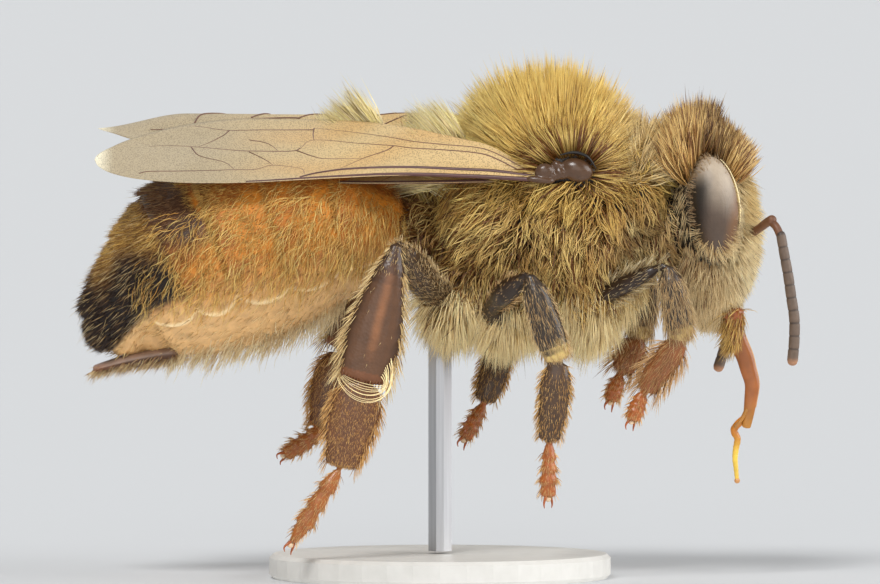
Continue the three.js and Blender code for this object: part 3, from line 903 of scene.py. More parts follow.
def growBackCoat():
    def density(points):
        high = ease(wingRoot[2] - 0.45, wingRoot[2] + 0.2, points[:, 2])
        return onTrunk(points) * high * clearOfWingRoot(points)

    def style(points, normals, random):
        top = ease(wingRoot[2], wingRoot[2] + 1.2, points[:, 2])
        rear = 1 - ease(trunkMiddle[0] - 1.5, trunkMiddle[0] - 0.2, points[:, 0])
        front = ease(trunkMiddle[0] + 0.7, trunkMiddle[0] + 1.8, points[:, 0])
        throat = front * (1 - top)
        tip = paintOver(
            furPaints, furPaints["gold"],
            ("straw", rear), ("tan", front * 0.25), ("paleCream", 0.6 * throat),
        )
        near = np.linalg.norm(awayFromWing(points), axis=1)
        low = 1 - ease(0.5, 1.5, near)
        root = darker(tip, 0.6 + 0.3 * throat - 0.52 * low)
        brown = front * top * ease(0.3, 0.9, normals[:, 2]) * random.uniform(0.2, 1, len(points))
        tip = blendTint(tip, furPaints["brownTip"], brown * 0.95)
        return {
            "lie": awayFromWing(points) + np.array([-0.5, 0, 0.4]) * rear[:, None],
            "lift": 32 + 30 * top + 22 * front - 18 * rear,
            "length": 0.8 + 0.52 * top,
            "pull": np.array([0, 0, 0.25]) * top[:, None],
            "rootTint": root,
            "tipTint": tip,
            "under": 0.05 + 0.4 * low + 0.05 * front,
        }

    growCoat("coat_back", bodySkin, density, style, backCoat)


sideCoat = {
    "count": 5600, "seed": 23, "rings": 4, "width": 0.029, "clump": 0.97, "lock": 16,
    "stray": 0.5, "wave": 0.5, "fading": 0.7, "dullest": 0.95, "shaded": 0.62,
}


def growSideCoat(side, sign):
    def density(points):
        low = ease(trunkMiddle[2] - 2.1, trunkMiddle[2] - 1.5, points[:, 2])
        high = 1 - ease(wingRoot[2] - 0.35, wingRoot[2] + 0.1, points[:, 2])
        return onTrunk(points) * low * high * (points[:, 1] * sign > 0) * clearOfWingRoot(points)

    def style(points, normals, random):
        off = (points[:, [0, 2]] - wingRoot[[0, 2]] - [0.75, -0.5]) / [0.3, 0.5]
        front = ease(trunkMiddle[0] + 0.9, trunkMiddle[0] + 1.6, points[:, 0])
        high = ease(wingRoot[2] - 1.0, wingRoot[2] - 0.1, points[:, 2])
        tip = paintOver(
            furPaints, furPaints["sideStraw"],
            ("orange", np.exp(-(off**2).sum(1))), ("cream", front * 0.6), ("gold", high),
        )
        hip = 1 - ease(waistX + 0.4, waistX + 1.9, points[:, 0] + 0.35 * (points[:, 2] - hipHeight))
        deep = random.uniform(0.04, 0.25, len(points))
        deep = deep + (0.6 - deep) * high
        return {
            "lie": awayFromWing(points) + np.array([-0.4, 0, -1.0]) + swirl(points, 1.2),
            "lift": 32.0,
            "length": 1.1 - 0.35 * front,
            "pull": np.array([0.0, 0, -0.75]),
            "rootTint": darker(tip, deep),
            "tipTint": blendTint(tip, furPaints["dusk"], 0.35 * hip),
            "under": np.clip(0.26 + 0.26 * hip - 0.18 * high - 0.14 * front, 0, 1),
        }

    growCoat(f"coat_flank_{side}", bodySkin, density, style, sideCoat, shift=sign)


breastCoat = {
    "count": 10800, "seed": 31, "rings": 2, "width": 0.024, "clump": 0.6, "lock": 10, "stray": 0.25,
}


def growBreastCoat():
    def density(points):
        low = 1 - ease(trunkMiddle[2] - 1.9, trunkMiddle[2] - 1.3, points[:, 2])
        return onTrunk(points) * low

    def style(points, normals, random):
        tip = np.broadcast_to(furPaints["cream"], points.shape)
        return {
            "lie": np.broadcast_to(noseDown + [-0.2, 0, 0], points.shape),
            "lift": 40.0,
            "length": 1.05,
            "pull": np.array([0, 0, -0.7]),
            "rootTint": tip,
            "tipTint": tip,
        }

    growCoat("coat_breast", bodySkin, density, style, breastCoat)


crownCoat = {
    "count": 8000, "seed": 41, "rings": 3, "width": 0.03, "clump": 0.7, "lock": 5, "stray": 0.22,
    "fading": 0.9, "dullest": 0.75, "shaded": 0.5, "under": 0.34,
}


def growCrownCoat():
    def density(points):
        up = ease(eyeMiddle[2] + 0.3, eyeMiddle[2] + 0.8, points[:, 2])
        return onHead(points) * up * (inEye(points) > 1.03)

    def style(points, normals, random):
        forward = ease(headMiddle[0] - 0.25, headMiddle[0] + 0.5, points[:, 0])
        middle = window(headMiddle[0] - 0.15, headMiddle[0] + 0.3, 0.15, points[:, 0])
        dark = np.clip(middle + 0.8 * forward, 0, 1) * random.uniform(0.35, 1, len(points))
        ragged = points[:, 2] + random.normal(0, 0.2, len(points))
        dark = dark * ease(eyeMiddle[2] + 0.45, eyeMiddle[2] + 1.05, ragged)
        root = darker(furPaints["crownGold"], 0.4) * np.ones_like(points)
        tip = blendTint(furPaints["crownGold"], furPaints["crownDark"], dark)
        return {
            "lie": points - headMiddle + [0.1, 0, 1.2],
            "lift": 64 - 8 * forward,
            "length": 1.12 - 0.42 * forward,
            "pull": np.array([0.1, 0, 0.5]) * (1 - forward)[:, None],
            "rootTint": blendTint(root, furPaints["crownDark"], middle * 0.8),
            "tipTint": tip,
        }

    growCoat("coat_crown", bodySkin, density, style, crownCoat)


faceCoat = {
    "count": 12500, "seed": 43, "rings": 2, "width": 0.018, "clump": 0.4, "lock": 6, "stray": 0.3,
    "fading": 0.7, "dullest": 0.84, "shaded": 0.35, "under": 0.1,
}


def growFaceCoat():
    def density(points):
        down = 1 - ease(eyeMiddle[2] + 0.35, eyeMiddle[2] + 0.8, points[:, 2])
        front = ease(eyeMiddle[0] - 0.1, eyeMiddle[0] + 0.4, points[:, 0])
        cheek = 1 - ease(eyeMiddle[2] - 1.1, eyeMiddle[2] - 0.7, points[:, 2])
        share = np.clip(0.16 + 1.3 * front + 0.8 * cheek, 0, 1.5)
        return onHead(points) * down * share * (inEye(points) > 1.05)

    def style(points, normals, random):
        front = ease(eyeMiddle[0] + 0.1, eyeMiddle[0] + 0.5, points[:, 0])
        high = ease(eyeMiddle[2] - 1.3, eyeMiddle[2] + 0.4, points[:, 2])
        cheek = 1 - ease(eyeMiddle[2] - 1.3, eyeMiddle[2] - 0.7, points[:, 2])
        tip = blendTint(furPaints["paleCream"], furPaints["sideStraw"], 0.6 * high)
        tip = blendTint(furPaints["grey"], tip, front)
        ragged = points[:, 2] + random.normal(0, 0.25, len(points))
        brown = ease(eyeMiddle[2] + 0.3, eyeMiddle[2] + 0.8, ragged)
        tip = blendTint(tip, furPaints["crownDark"], 0.4 * brown)
        rim = (1 - ease(1.1, 1.45, inEye(points))) * ease(0, 0.2, points[:, 0] - eyeMiddle[0])
        tip = blendTint(tip, furPaints["paleCream"], rim)
        down = np.broadcast_to(noseDown, points.shape)
        length = 0.3 + 0.14 * front + 0.12 * front * high + 0.3 * cheek * (1 - front) - 0.16 * rim
        return {
            "lie": down + np.array([0.3, 0, 0.5]) * (front * high)[:, None],
            "lift": 22 + 38 * front * (1 - rim),
            "length": length,
            "pull": down * 0.4,
            "rootTint": darker(tip, 0.2 + 0.62 * front),
            "tipTint": tip,
        }

    growCoat("coat_face", bodySkin, density, style, faceCoat)


ringCoat = {
    "count": 30000, "seed": 53, "rings": 1, "width": 0.021, "clump": 0.1, "lock": 7, "stray": 0.35,
    "dullest": 0.75, "shaded": 0.4,
}


def abdomenFur(points):
    ring, share, angle, run = alongAbdomen(points)
    share = share + 0.16 * (mottle(points, 8.3) - 0.5)
    bandFour = (ring == 4) * (1 - ease(0.34, 0.54, share + angle / 200))
    bandFour = bandFour + (ring == 3) * ease(0.42, 0.62, share + angle / 250)
    bandFour = bandFour * (1 - ease(74, 92, angle))
    bandFive = (ring == 5) * (1 - ease(62, 92, angle + 34 * share))
    bandFive = bandFive + (ring == 6) * (1 - ease(0.1, 0.6, share)) * (1 - ease(30, 62, angle))
    dark = (ring == 4) * ease(0.34, 0.54, share + angle / 200) * (1 - ease(68, 88, angle))
    dark = dark + (ring >= 5) * 1.0 - bandFive
    dark = np.clip(dark, 0, 1) * (1 - ease(98, 110, angle))
    bands = np.clip(bandFour + bandFive, 0, 1)
    tip = paintOver(
        furPaints, furPaints["amber"], ("bandYellow", bands), ("dusk", dark),
        ("soot", dark * (ring >= 5) * 0.94), ("cream", 0.8 * ease(92, 112, angle)),
    )
    sparse = 1 - 0.5 * dark
    thick = 1 + 0.5 * bands + 0.9 * (ring == 6) * ease(0.5, 0.8, share)
    thick = thick * (1 - 0.94 * ease(92, 110, angle))
    thick = thick * (1 - 0.97 * bareEdge(ring, share, angle))  # hardly any on the smooth edge
    return tip, run, angle, sparse * thick


def growRingCoat(side, sign):
    def density(points):
        return onAbdomen(points) * (points[:, 1] * sign > -0.02) * abdomenFur(points)[3]

    def style(points, normals, random):
        tip, run, angle, _ = abdomenFur(points)
        lower = ease(95, 125, angle)
        rear = 1 - ease(plateMiddles[5][0], plateMiddles[4][0], points[:, 0])
        pale = (random.random(len(points)) < 0.09) * (1 - lower) * rear
        tip = blendTint(tip, furPaints["cream"], 0.8 * pale)
        return {
            "lie": run + np.array([0, 0, -0.3]),
            "lift": 15 + 14 * lower + 24 * rear,
            "length": 0.23 + 0.06 * lower + 0.05 * rear + 0.12 * pale,
            "pull": run * 0.2,
            "rootTint": darker(tip, 0.55 + 0.35 * lower),
            "tipTint": tip,
            "under": 0.24 + 0.24 * rear * (1 - lower),
        }

    growCoat(f"coat_rings_{side}", bodySkin, density, style, ringCoat, shift=sign)


longCoat = {
    "count": 3400, "seed": 71, "rings": 4, "width": 0.014, "clump": 0.5, "lock": 5,
    "stray": 0.7, "wave": 0.36, "dullest": 0.7, "shaded": 0.4, "under": 0.0,
}


def growLongHairs(side, sign):
    # Long wavy hairs on the sides of the abdomen, and those that hang below it.
    def density(points):
        ring, _, angle, _ = alongAbdomen(points)
        flank = window(55, 112, 12, angle) * (ring <= 4) * 0.8
        flank = flank * (1 + 0.6 * (ring <= 2)) + 0.35 * (ring == 5) * window(70, 105, 8, angle)
        below = ease(138, 156, angle) * (ring >= 2) * (ring < 6) * 0.5
        return onAbdomen(points) * (points[:, 1] * sign > -0.02) * (flank + below)

    def style(points, normals, random):
        _, _, angle, run = alongAbdomen(points)
        below = ease(115, 130, angle)
        tip = blendTint(furPaints["amber"], furPaints["yellow"], random.random(len(points)))
        tip = blendTint(tip, furPaints["paleCream"], below)
        return {
            "lie": run + np.array([0, 0, -1.3]),
            "lift": 20 + 25 * below,
            "length": random.uniform(0.35, 0.85, len(points)),
            "pull": np.array([-0.1, 0, -0.8]),
            "rootTint": darker(tip, 0.6 + 0.35 * below),
            "tipTint": tip,
        }

    growCoat(f"coat_long_{side}", bodySkin, density, style, longCoat, shift=sign)


tuftCoat = {
    "count": 4600, "seed": 83, "rings": 2, "width": 0.022, "clump": 0.55, "lock": 9, "stray": 0.2,
}


def growTufts():
    # Pale hair that stands between the wings, on the first ring and behind the trunk.
    def density(points):
        edge = -1.0 - 0.6 * (points[:, 0] - waistX)  # where the near wing's rear edge passes
        gap = window(edge + 0.34, edge + 0.72, 0.05, points[:, 1])
        first = window(waistX - 1.85, waistX - 0.7, 0.08, points[:, 0]) * gap
        wide = 1 - ease(0.7, 0.9, np.abs(points[:, 1]))
        behind = window(waistX + 0.1, wingRoot[0] - 2.1, 0.15, points[:, 0]) * wide
        top = ease(wingRoot[2] - 0.9, wingRoot[2] - 0.3, points[:, 2])
        return top * (2.0 * first + behind)

    def style(points, normals, random):
        tip = blendTint(furPaints["straw"], furPaints["paleCream"], random.random(len(points)))
        first = 1 - ease(waistX - 0.4, waistX, points[:, 0])
        lie = np.array([-1.0, 0, 1.1]) * first[:, None] + [-1.0, 0, 1.2] * (1 - first)[:, None]
        tall = ease(waistX - 1.8, waistX - 0.8, points[:, 0])
        return {
            "lie": lie,
            "lift": 56.0,
            "length": 1.2 - 0.25 * first + 0.35 * first * tall,
            "pull": np.array([-0.4, 0, 0.2]),
            "rootTint": tip * 0.9,
            "tipTint": tip,
        }

    growCoat("coat_tufts", bodySkin, density, style, tuftCoat)


lastPlateCoat = {
    "count": 900, "seed": 73, "rings": 2, "width": 0.015, "clump": 0.1, "lock": 5, "stray": 0.3,
}


def growLastPlateCoat(skin):
    # Bristles under the last plate.
    line, _ = lastPlateSections()

    def density(points):
        height = np.interp(points[:, 0], line[::-1, 0], line[::-1, 2])
        return 1 - ease(-0.02, 0.04, points[:, 2] - height)

    def style(points, normals, random):
        tip = blendTint(furPaints["cream"], furPaints["dusk"], random.random(len(points)))
        return {
            "lie": np.broadcast_to([-0.7, 0, -1.0], points.shape),
            "lift": 42.0,
            "length": random.uniform(0.15, 0.42, len(points)),
            "pull": np.array([-0.3, 0, -0.4]),
            "rootTint": darker(tip, 0.4),
            "tipTint": tip,
        }

    growCoat("coat_last_plate", skin, density, style, lastPlateCoat)


growBackCoat()
growLastPlateCoat(buildLastPlate())
for side, sign in sides.items():
    growSideCoat(side, sign)
    growRingCoat(side, sign)
    growLongHairs(side, sign)
growBreastCoat()
growCrownCoat()
growFaceCoat()
growTufts()


# Legs: one skin for each, through the middles of its solids.
legParts = ("femur", "tibia", "basitarsus", "tarsus")
leg = {
    "voxel": 0.032, "soften": 2, "cuts": 7, "rings": 13, "footRings": 33, "footBeads": 4,
    "pad": 0.06, "claw": (0.042, 0.008),
    "coat": {"femur": 0.06, "tibia": 0.04, "basitarsus": 0.05, "tarsus": 0.05}, "flatness": 0.85,
}
legPaints = {
    "femur": {"fore": paint(42, 28, 18), "mid": paint(40, 27, 17), "hind": paint(62, 44, 28)},
    "tibia": {"fore": paint(56, 44, 34), "mid": paint(50, 40, 31), "hind": paint(90, 60, 38)},
    "basitarsus": {"fore": paint(132, 78, 40), "mid": paint(70, 50, 34), "hind": paint(96, 60, 36)},
    "tarsus": {"fore": paint(160, 88, 38), "mid": paint(158, 86, 38), "hind": paint(156, 90, 40)},
    "streak": paint(150, 96, 56),
    "yellowKnee": paint(214, 184, 112),
    "comb": paint(108, 66, 38),
    "darkEdge": paint(42, 28, 20),
    "claw": paint(160, 84, 40),
    "pad": paint(214, 188, 156),
}


def legSections(name):
    # Each part's centres and half sizes, from the hip to the foot.
    found = []
    end = besideHip(f"leg_{name}_femur")
    for part in legParts:
        foot = part == "tarsus"
        centres, halves = sectionsOf(
            f"leg_{name}_{part}", leg["cuts"], end, 0.08, 0.26 if foot else 0.08
        )
        if part in ("tibia", "basitarsus"):
            halves[-1] = np.maximum(halves[-1], 0.88 * halves[-2])
            halves[0] = np.maximum(halves[0], 0.75 * halves[1])
        end = centres[-1]
        count = leg["footRings"] if foot else leg["rings"]
        slim = np.maximum(smoothPath(halves, count) - leg["coat"][part], 0.08)
        slim[:, 0] *= leg["flatness"]
        if name.startswith("fore") and part in ("femur", "basitarsus"):
            slim[:, 1] *= 0.74
        down = np.linspace(0, 1, count)
        if part == "tibia":
            slim *= (0.62 + 0.38 * ease(0, 0.16, down))[:, None]
        if name.startswith("hind") and part == "tibia":
            slim[:, 1] *= 0.86 + 0.3 * down
        if foot:
            beads = (np.linspace(0, leg["footBeads"] - 0.01, count)) % 1
            slim *= (0.62 + 0.4 * beads)[:, None]
        found.append((part, smoothPath(centres, count), slim))
    return found


def legGuide(name, sections):
    # Points down the middle of a leg, each with its part, share, way, upright axis and half size.
    pair = name.split("_")[0]
    rows = []
    for part, centres, halves in sections:
        runs = unit(np.gradient(centres, axis=0))
        for index, (centre, half, run) in enumerate(zip(centres, halves, runs)):
            share = index / (len(centres) - 1)
            rows.append((pair, part, share, centre, run, acrossAxes(run)[1], half[1]))
    return rows


def nearestOnLegs(points, guide):
    found = [guide[at] for at in nearestRow([row[3] for row in guide], points)]
    fields = ("pair", "part", "share", "centre", "run", "upright", "half")
    return {field: np.array([row[index] for row in found]) for index, field in enumerate(fields)}


def legTint(points, place):
    tint = np.zeros_like(points)
    for part in legParts:
        for pair in legPairs:
            chosen = (place["part"] == part) & (place["pair"] == pair)
            tint[chosen] = legPaints[part][pair]
    shin = place["part"] == "tibia"
    hindShin = shin * (place["pair"] == "hind")
    off = ((points - place["centre"]) * place["upright"]).sum(1)
    streak = window(0.15, 0.8, 0.15, place["share"]) * window(-0.06, 0.1, 0.07, off)
    low = place["share"] + 0.12 * (mottle(points, 9.1) - 0.5)
    return paintOver(
        legPaints,
        tint,
        ("streak", 0.6 * streak * hindShin),
        ("darkEdge", 0.6 * ease(0.6, 0.95, np.abs(off) / place["half"]) * hindShin),
        ("comb", hindShin * ease(0.97, 0.99, place["share"])),
        ("darkEdge", 0.7 * hindShin * (1 - ease(0.08, 0.4, place["share"]))),
        ("yellowKnee", 0.85 * shin * (place["pair"] != "hind") * ease(0.84, 0.97, low)),
    )


def buildLeg(name):
    sections = legSections(name)
    bm = bmesh.new()
    for part, centres, halves in sections:
        loft(bm, *roundEnds(centres, halves, 0.5, 0.45), around=18)
    for (_, before, wide), (_, after, narrow) in zip(sections, sections[1:]):
        size = min(wide[-1].min(), narrow[0].min()) * 0.9
        loft(bm, [before[-1], after[0]], [[size, size], [size, size]], around=12)
    guide = legGuide(name, sections)
    mesh = weld(bm, f"leg_skin_{name}", leg["voxel"], leg["soften"])
    points = pointsOf(mesh)
    setTint(mesh, legTint(points, nearestOnLegs(points, guide)))
    skin = readSkin(mesh)
    nodes = [f"leg_{name}_{part}" for part in legParts]
    addPiece(f"leg_skin_{name}", mesh, looks["leg"], nodes)
    buildFoot(name, sections[-1])
    return skin, guide


def buildFoot(name, section):
    # Two hooked claws and a pale pad at the end of a foot.
    _, centres, _ = section
    end, run = centres[-1], unit(centres[-1] - centres[-3])
    bm = bmesh.new()
    for aside in (-1, 1):
        sideways = unit(sum(acrossAxes(run))) * aside
        bend = [
            end + run * 0.02 + sideways * 0.04,
            end + run * 0.12 + sideways * 0.1,
            end + run * 0.21 + sideways * 0.12,
            end + run * 0.2 + sideways * 0.1 + noseDown * 0.09,
        ]
        tube(bm, smoothPath(bend, 8), np.linspace(*leg["claw"], 8), 8, domed=False)
    addShape(f"claws_{name}", bm, looks["claw"], plainTint(legPaints["claw"]))
    bm = bmesh.new()
    ball(bm, end + run * 0.1, (leg["pad"], leg["pad"] * 1.3, leg["pad"]), fine=3)
    tint = plainTint(legPaints["pad"])
    addShape(f"pad_{name}", bm, looks["claw"], tint, rounded=False)


legCoats = {
    "short": {
        "count": 10000, "seed": 61, "rings": 1, "width": 0.014, "stray": 0.25, "sink": 0.006,
        "dullest": 0.6, "under": 0.15,
    },
    "fringe": {
        "count": 3000, "seed": 65, "rings": 3, "width": 0.016, "stray": 0.2, "dullest": 0.6,
    },
}
legFur = {  # length, lift and thickness of growth on the faces, then the same on the two edges
    ("hind", "femur"): (0.22, 34, 1.0, 0.3, 40, 1.2),
    ("hind", "tibia"): (0.12, 20, 0.008, 0.5, 46, 1.7),
    ("hind", "basitarsus"): (0.085, 14, 2.4, 0.36, 42, 2.2),
    ("hind", "tarsus"): (0.12, 28, 1.0, 0.22, 45, 1.8),
    ("mid", "femur"): (0.12, 22, 0.3, 0.3, 40, 1.0),
    ("mid", "tibia"): (0.2, 12, 0.8, 0.26, 40, 1.5),
    ("mid", "basitarsus"): (0.12, 14, 0.8, 0.26, 48, 2.2),
    ("mid", "tarsus"): (0.12, 28, 1.0, 0.2, 45, 1.8),
    ("fore", "femur"): (0.16, 16, 0.25, 0.42, 40, 1.2),
    ("fore", "tibia"): (0.27, 16, 1.2, 0.36, 30, 2.0),
    ("fore", "basitarsus"): (0.2, 24, 0.9, 0.5, 42, 2.6),
    ("fore", "tarsus"): (0.12, 28, 1.0, 0.2, 45, 1.8),
}
legFurPaints = {
    ("fore", "femur"): paint(214, 200, 160),
    ("mid", "femur"): paint(238, 206, 150),
    ("hind", "femur"): paint(240, 218, 168),
    ("fore", "tibia"): paint(232, 208, 160),
    ("mid", "tibia"): paint(236, 210, 160),
    ("hind", "tibia"): paint(255, 232, 174),
    ("fore", "basitarsus"): paint(226, 186, 132),
    ("mid", "basitarsus"): paint(246, 204, 130),
    ("hind", "basitarsus"): paint(240, 194, 122),
    ("fore", "tarsus"): paint(252, 212, 150),
    ("mid", "tarsus"): paint(252, 212, 150),
    ("hind", "tarsus"): paint(252, 212, 150),
}


def valuesAt(table, place):  # a table's value for each place on the legs
    keys = zip(place["pair"], place["part"])
    return np.array([table[str(pair), str(part)] for pair, part in keys])


def growLegCoat(kind, side, skins, guide):
    first = 0 if kind == "short" else 3  # where this coat's values start in a row of legFur
    start, merged = 0, {"points": [], "normals": [], "corners": []}
    for skin in skins:
        merged["points"].append(skin["points"])
        merged["normals"].append(skin["normals"])
        merged["corners"].append(skin["corners"] + start)
        start += len(skin["points"])
    merged = {key: np.concatenate(rows) for key, rows in merged.items()}

    def edgeOf(points, place):
        off = ((points - place["centre"]) * place["upright"]).sum(1)
        return ease(0.78, 0.96, np.abs(off) / place["half"])

    def density(points):
        place = nearestOnLegs(points, guide)
        edge = edgeOf(points, place)
        shin = (place["pair"] == "hind") & (place["part"] == "tibia")
        top = shin * (1 - ease(0.08, 0.26, place["share"]))
        thickness = valuesAt(legFur, place)[:, first + 2]
        if kind == "short":
            return (thickness + 0.6 * top) * (1 - edge)
        return thickness * edge

    def style(points, normals, random):
        place = nearestOnLegs(points, guide)
        length, lift = valuesAt(legFur, place)[:, first : first + 2].T
        if kind == "fringe":
            length = length * np.where(place["part"] == "tibia", 0.5 + 0.6 * place["share"], 1)
        tip = valuesAt(legFurPaints, place)
        return {
            "lie": place["run"],
            "lift": lift,
            "length": length,
            "pull": place["run"] * 0.9,
            "rootTint": darker(tip, 0.45),
            "tipTint": tip,
        }

    def spots(roots):
        place = nearestOnLegs(roots, guide)
        band = np.select([place["pair"] == "fore", place["pair"] == "mid"], [0, 1], 2)
        part = np.array([legParts.index(part) for part in place["part"]])
        down = (part + place["share"]) / len(legParts)
        out = roots - place["centre"]
        sideways = np.cross(place["upright"], place["run"])
        angle = np.arctan2((out * sideways).sum(1), (out * place["upright"]).sum(1))
        return np.column_stack([down, (band + angle / (2 * math.pi) + 0.5) / 3])

    growCoat(
        f"coat_legs_{kind}_{side}", merged, density, style, legCoats[kind],
        spots, sides[side],
    )


basket = {"loops": 9, "radius": 0.008, "comb": 14, "combRadius": 0.02}


def buildBasketHairs(side, rows):
    # Long hairs that hang in loops under the lower end of the hind shin, over a short comb.
    random = np.random.default_rng(67)
    shin = [row for row in rows if row[1] == "tibia"]
    run, half = shin[-1][4], shin[-1][6]
    front = shin[-1][5] if shin[-1][5][0] > 0 else -shin[-1][5]
    out = np.array([0, sides[side], 0.0])
    turns = np.linspace(-0.75, 2.9, 18)
    bm = bmesh.new()
    for index in range(basket["loops"]):
        share = index / (basket["loops"] - 1)
        wide = half * (0.86 + 0.26 * share + random.uniform(-0.05, 0.05))
        deep = 0.1 + 0.36 * share + random.uniform(-0.02, 0.02)
        middle = shin[-1][3] + run * 0.02 + out * 0.16
        reach = np.where(turns < 0, 0.2 + 0.6 * share, deep)[:, None]
        path = middle + front * np.cos(turns * 0.9)[:, None] * wide
        path = path + run * np.sin(turns)[:, None] * reach
        path = path + out * (0.12 * np.clip(np.sin(turns), 0, 1) * (0.4 + share))[:, None]
        tube(bm, path, basket["radius"] * np.linspace(1.1, 0.4, len(turns)), 6, domed=False)
    tint = plainTint(legFurPaints["hind", "tibia"])
    addShape(f"basket_loops_{side}", bm, looks["fur"], tint, rounded=False)
    bm = bmesh.new()
    last = shin[-1]
    for share in np.linspace(-0.8, 0.8, basket["comb"]):
        start = last[3] + last[5] * last[6] * share + out * 0.09 - last[4] * 0.08
        path = smoothPath([start, start + last[4] * 0.12 + out * 0.03, start + last[4] * 0.24], 6)
        tube(bm, path, basket["combRadius"] * np.linspace(1, 0.4, 6), 6, domed=False)
    tint = plainTint(legPaints["comb"])
    addShape(f"basket_comb_{side}", bm, looks["leg"], tint, rounded=False)


for side in sides:
    built = [buildLeg(f"{pair}_{side}") for pair in legPairs]
    for kind in legCoats:
        growLegCoat(
            kind, side, [skin for skin, _ in built], [row for _, rows in built for row in rows]
        )
    buildBasketHairs(side, [row for row in built[2][1] if row[1] in ("tibia", "basitarsus")])
print("legs ready")


# Eyes, in the places of their solids, with fine hair round their edges.
eye = {"line": 0.022, "coat": {
    "count": 900, "seed": 91, "rings": 2, "width": 0.014, "clump": 0.1, "lock": 6, "stray": 0.2,
}}
# The eye's top is a painted highlight and its rear a painted shade; its middle and rim are its own
# colours.
eyePaints = {
    "top": paint(172, 156, 136),
    "middle": paint(80, 64, 52),
    "rear": paint(16, 13, 11),
    "rim": paint(124, 86, 52),
    "line": paint(252, 234, 182),
    "hair": paint(168, 144, 112),
    "small": paint(70, 44, 28),
}


def buildEye(side, sign):
    middle = eyeMiddle * [1, sign, 1]
    bm = bmesh.new()
    ball(bm, middle, eyeHalf * [0.96, 1, 0.97], lean=eyeLean, fine=6)

    def markings(points):
        off = (points - middle) / eyeHalf
        rear = 1 - ease(-0.65, 0.0, off[:, 0] - 0.25 * off[:, 2])
        # A painted highlight over the top and painted shade at the rear, which give the eye its
        # rounded look.
        return paintOver(
            eyePaints,
            eyePaints["middle"],
            ("top", ease(-0.3, 0.8, off[:, 2] + 0.2 * off[:, 0])),
            ("rear", rear * (1 - ease(0.3, 0.8, off[:, 2])) * 0.9),
            ("rim", ease(0.5, 1.0, off[:, 0] - off[:, 2] * 0.35) * 0.8),
        )

    name, nodes = f"compound_eye_{side}", [f"eye_{side}"]
    return addShape(name, bm, looks["eye"], markings, nodes, rounded=False)


def growEyeFringe(side, sign, skin):
    middle = eyeMiddle * [1, sign, 1]

    def outward(points):
        return unit((points - middle) * [1, 0, 1] / eyeHalf**2)

    def density(points):
        off = (points - middle) / eyeHalf
        reach = np.linalg.norm(off[:, [0, 2]], axis=1)
        around = np.clip(1.1 - off[:, 0] - 0.5 * off[:, 2], 0.15, 2)
        return ease(0.6, 0.95, reach) * around * ((points[:, 1] - middle[1]) * sign > -0.1)

    def style(points, normals, random):
        off = (points - middle) / eyeHalf
        low = 1 - ease(-0.75, -0.25, off[:, 2])
        tip = blendTint(eyePaints["hair"], furPaints["grey"], np.clip(low + 0.1, 0, 1))
        return {
            "lie": outward(points),
            "lift": 18.0,
            "length": 0.24 + 0.2 * low,
            "pull": outward(points) * 0.3,
            "rootTint": darker(tip, 0.45),
            "tipTint": tip,
        }

    def spots(roots):
        off = (roots - middle) / eyeHalf
        return np.clip(off[:, [0, 2]] * 0.45 + 0.5, 0, 1)

    growCoat(f"coat_eye_{side}", skin, density, style, eye["coat"], spots, shift=sign)


def buildOrbit(side, sign):
    # The pale line down the front of an eye and on down the side of the face.
    turns = np.radians(np.linspace(62, -58, 12))
    off = np.column_stack([np.cos(turns), np.zeros(12), np.sin(turns)]) * eyeHalf * [1.04, 1, 1.0]
    lean = -eyeLean
    off = np.column_stack([
        off[:, 0] * math.cos(lean) - off[:, 2] * math.sin(lean),
        off[:, 1],
        off[:, 0] * math.sin(lean) + off[:, 2] * math.cos(lean),
    ])
    beside = eyeMiddle + off - [0, 0.26, 0]
    below = np.array([inBox("head", 0.69, 0.5, 0.22), inBox("head", 0.7, 0.5, 0.1)])
    below[:, 1] += [0.85, 0.7]
    path = smoothPath(np.vstack([beside, below]) * [1, sign, 1], 40)
    thin = eye["line"] * np.sin(np.linspace(0.3, math.pi - 0.3, 40)) ** 0.5
    bm = bmesh.new()
    loft(bm, path, np.column_stack([thin, thin * 0.8]), around=10)
    addShape(f"eye_line_{side}", bm, looks["skin"], plainTint(eyePaints["line"]))


for side, sign in sides.items():
    growEyeFringe(side, sign, buildEye(side, sign))
    buildOrbit(side, sign)


def buildSmallEyes():  # three glassy beads on top of the head
    bm = bmesh.new()
    top = inBox("head", 0.5, 0.5, 0.78)
    for back, aside in ((0.12, 0), (-0.05, 0.28), (-0.05, -0.28)):
        ball(bm, top + [back, aside, -0.02 - abs(aside) * 0.2], (0.11, 0.11, 0.11), fine=3)
    tint = plainTint(eyePaints["small"])
    addShape("small_eyes", bm, looks["claw"], tint, rounded=False)


buildSmallEyes()


# Feelers: a stalk to the elbow and a whip of ten short rings.
feeler = {"radius": 0.112, "rings": 10, "steps": 8, "groove": 0.08, "stalk": 0.085, "tuck": 0.16}
feelerPaints = {
    "shell": paint(98, 80, 66),
    "groove": paint(48, 36, 30),
    "tip": paint(196, 140, 100),
    "stalk": paint(104, 66, 42),
}


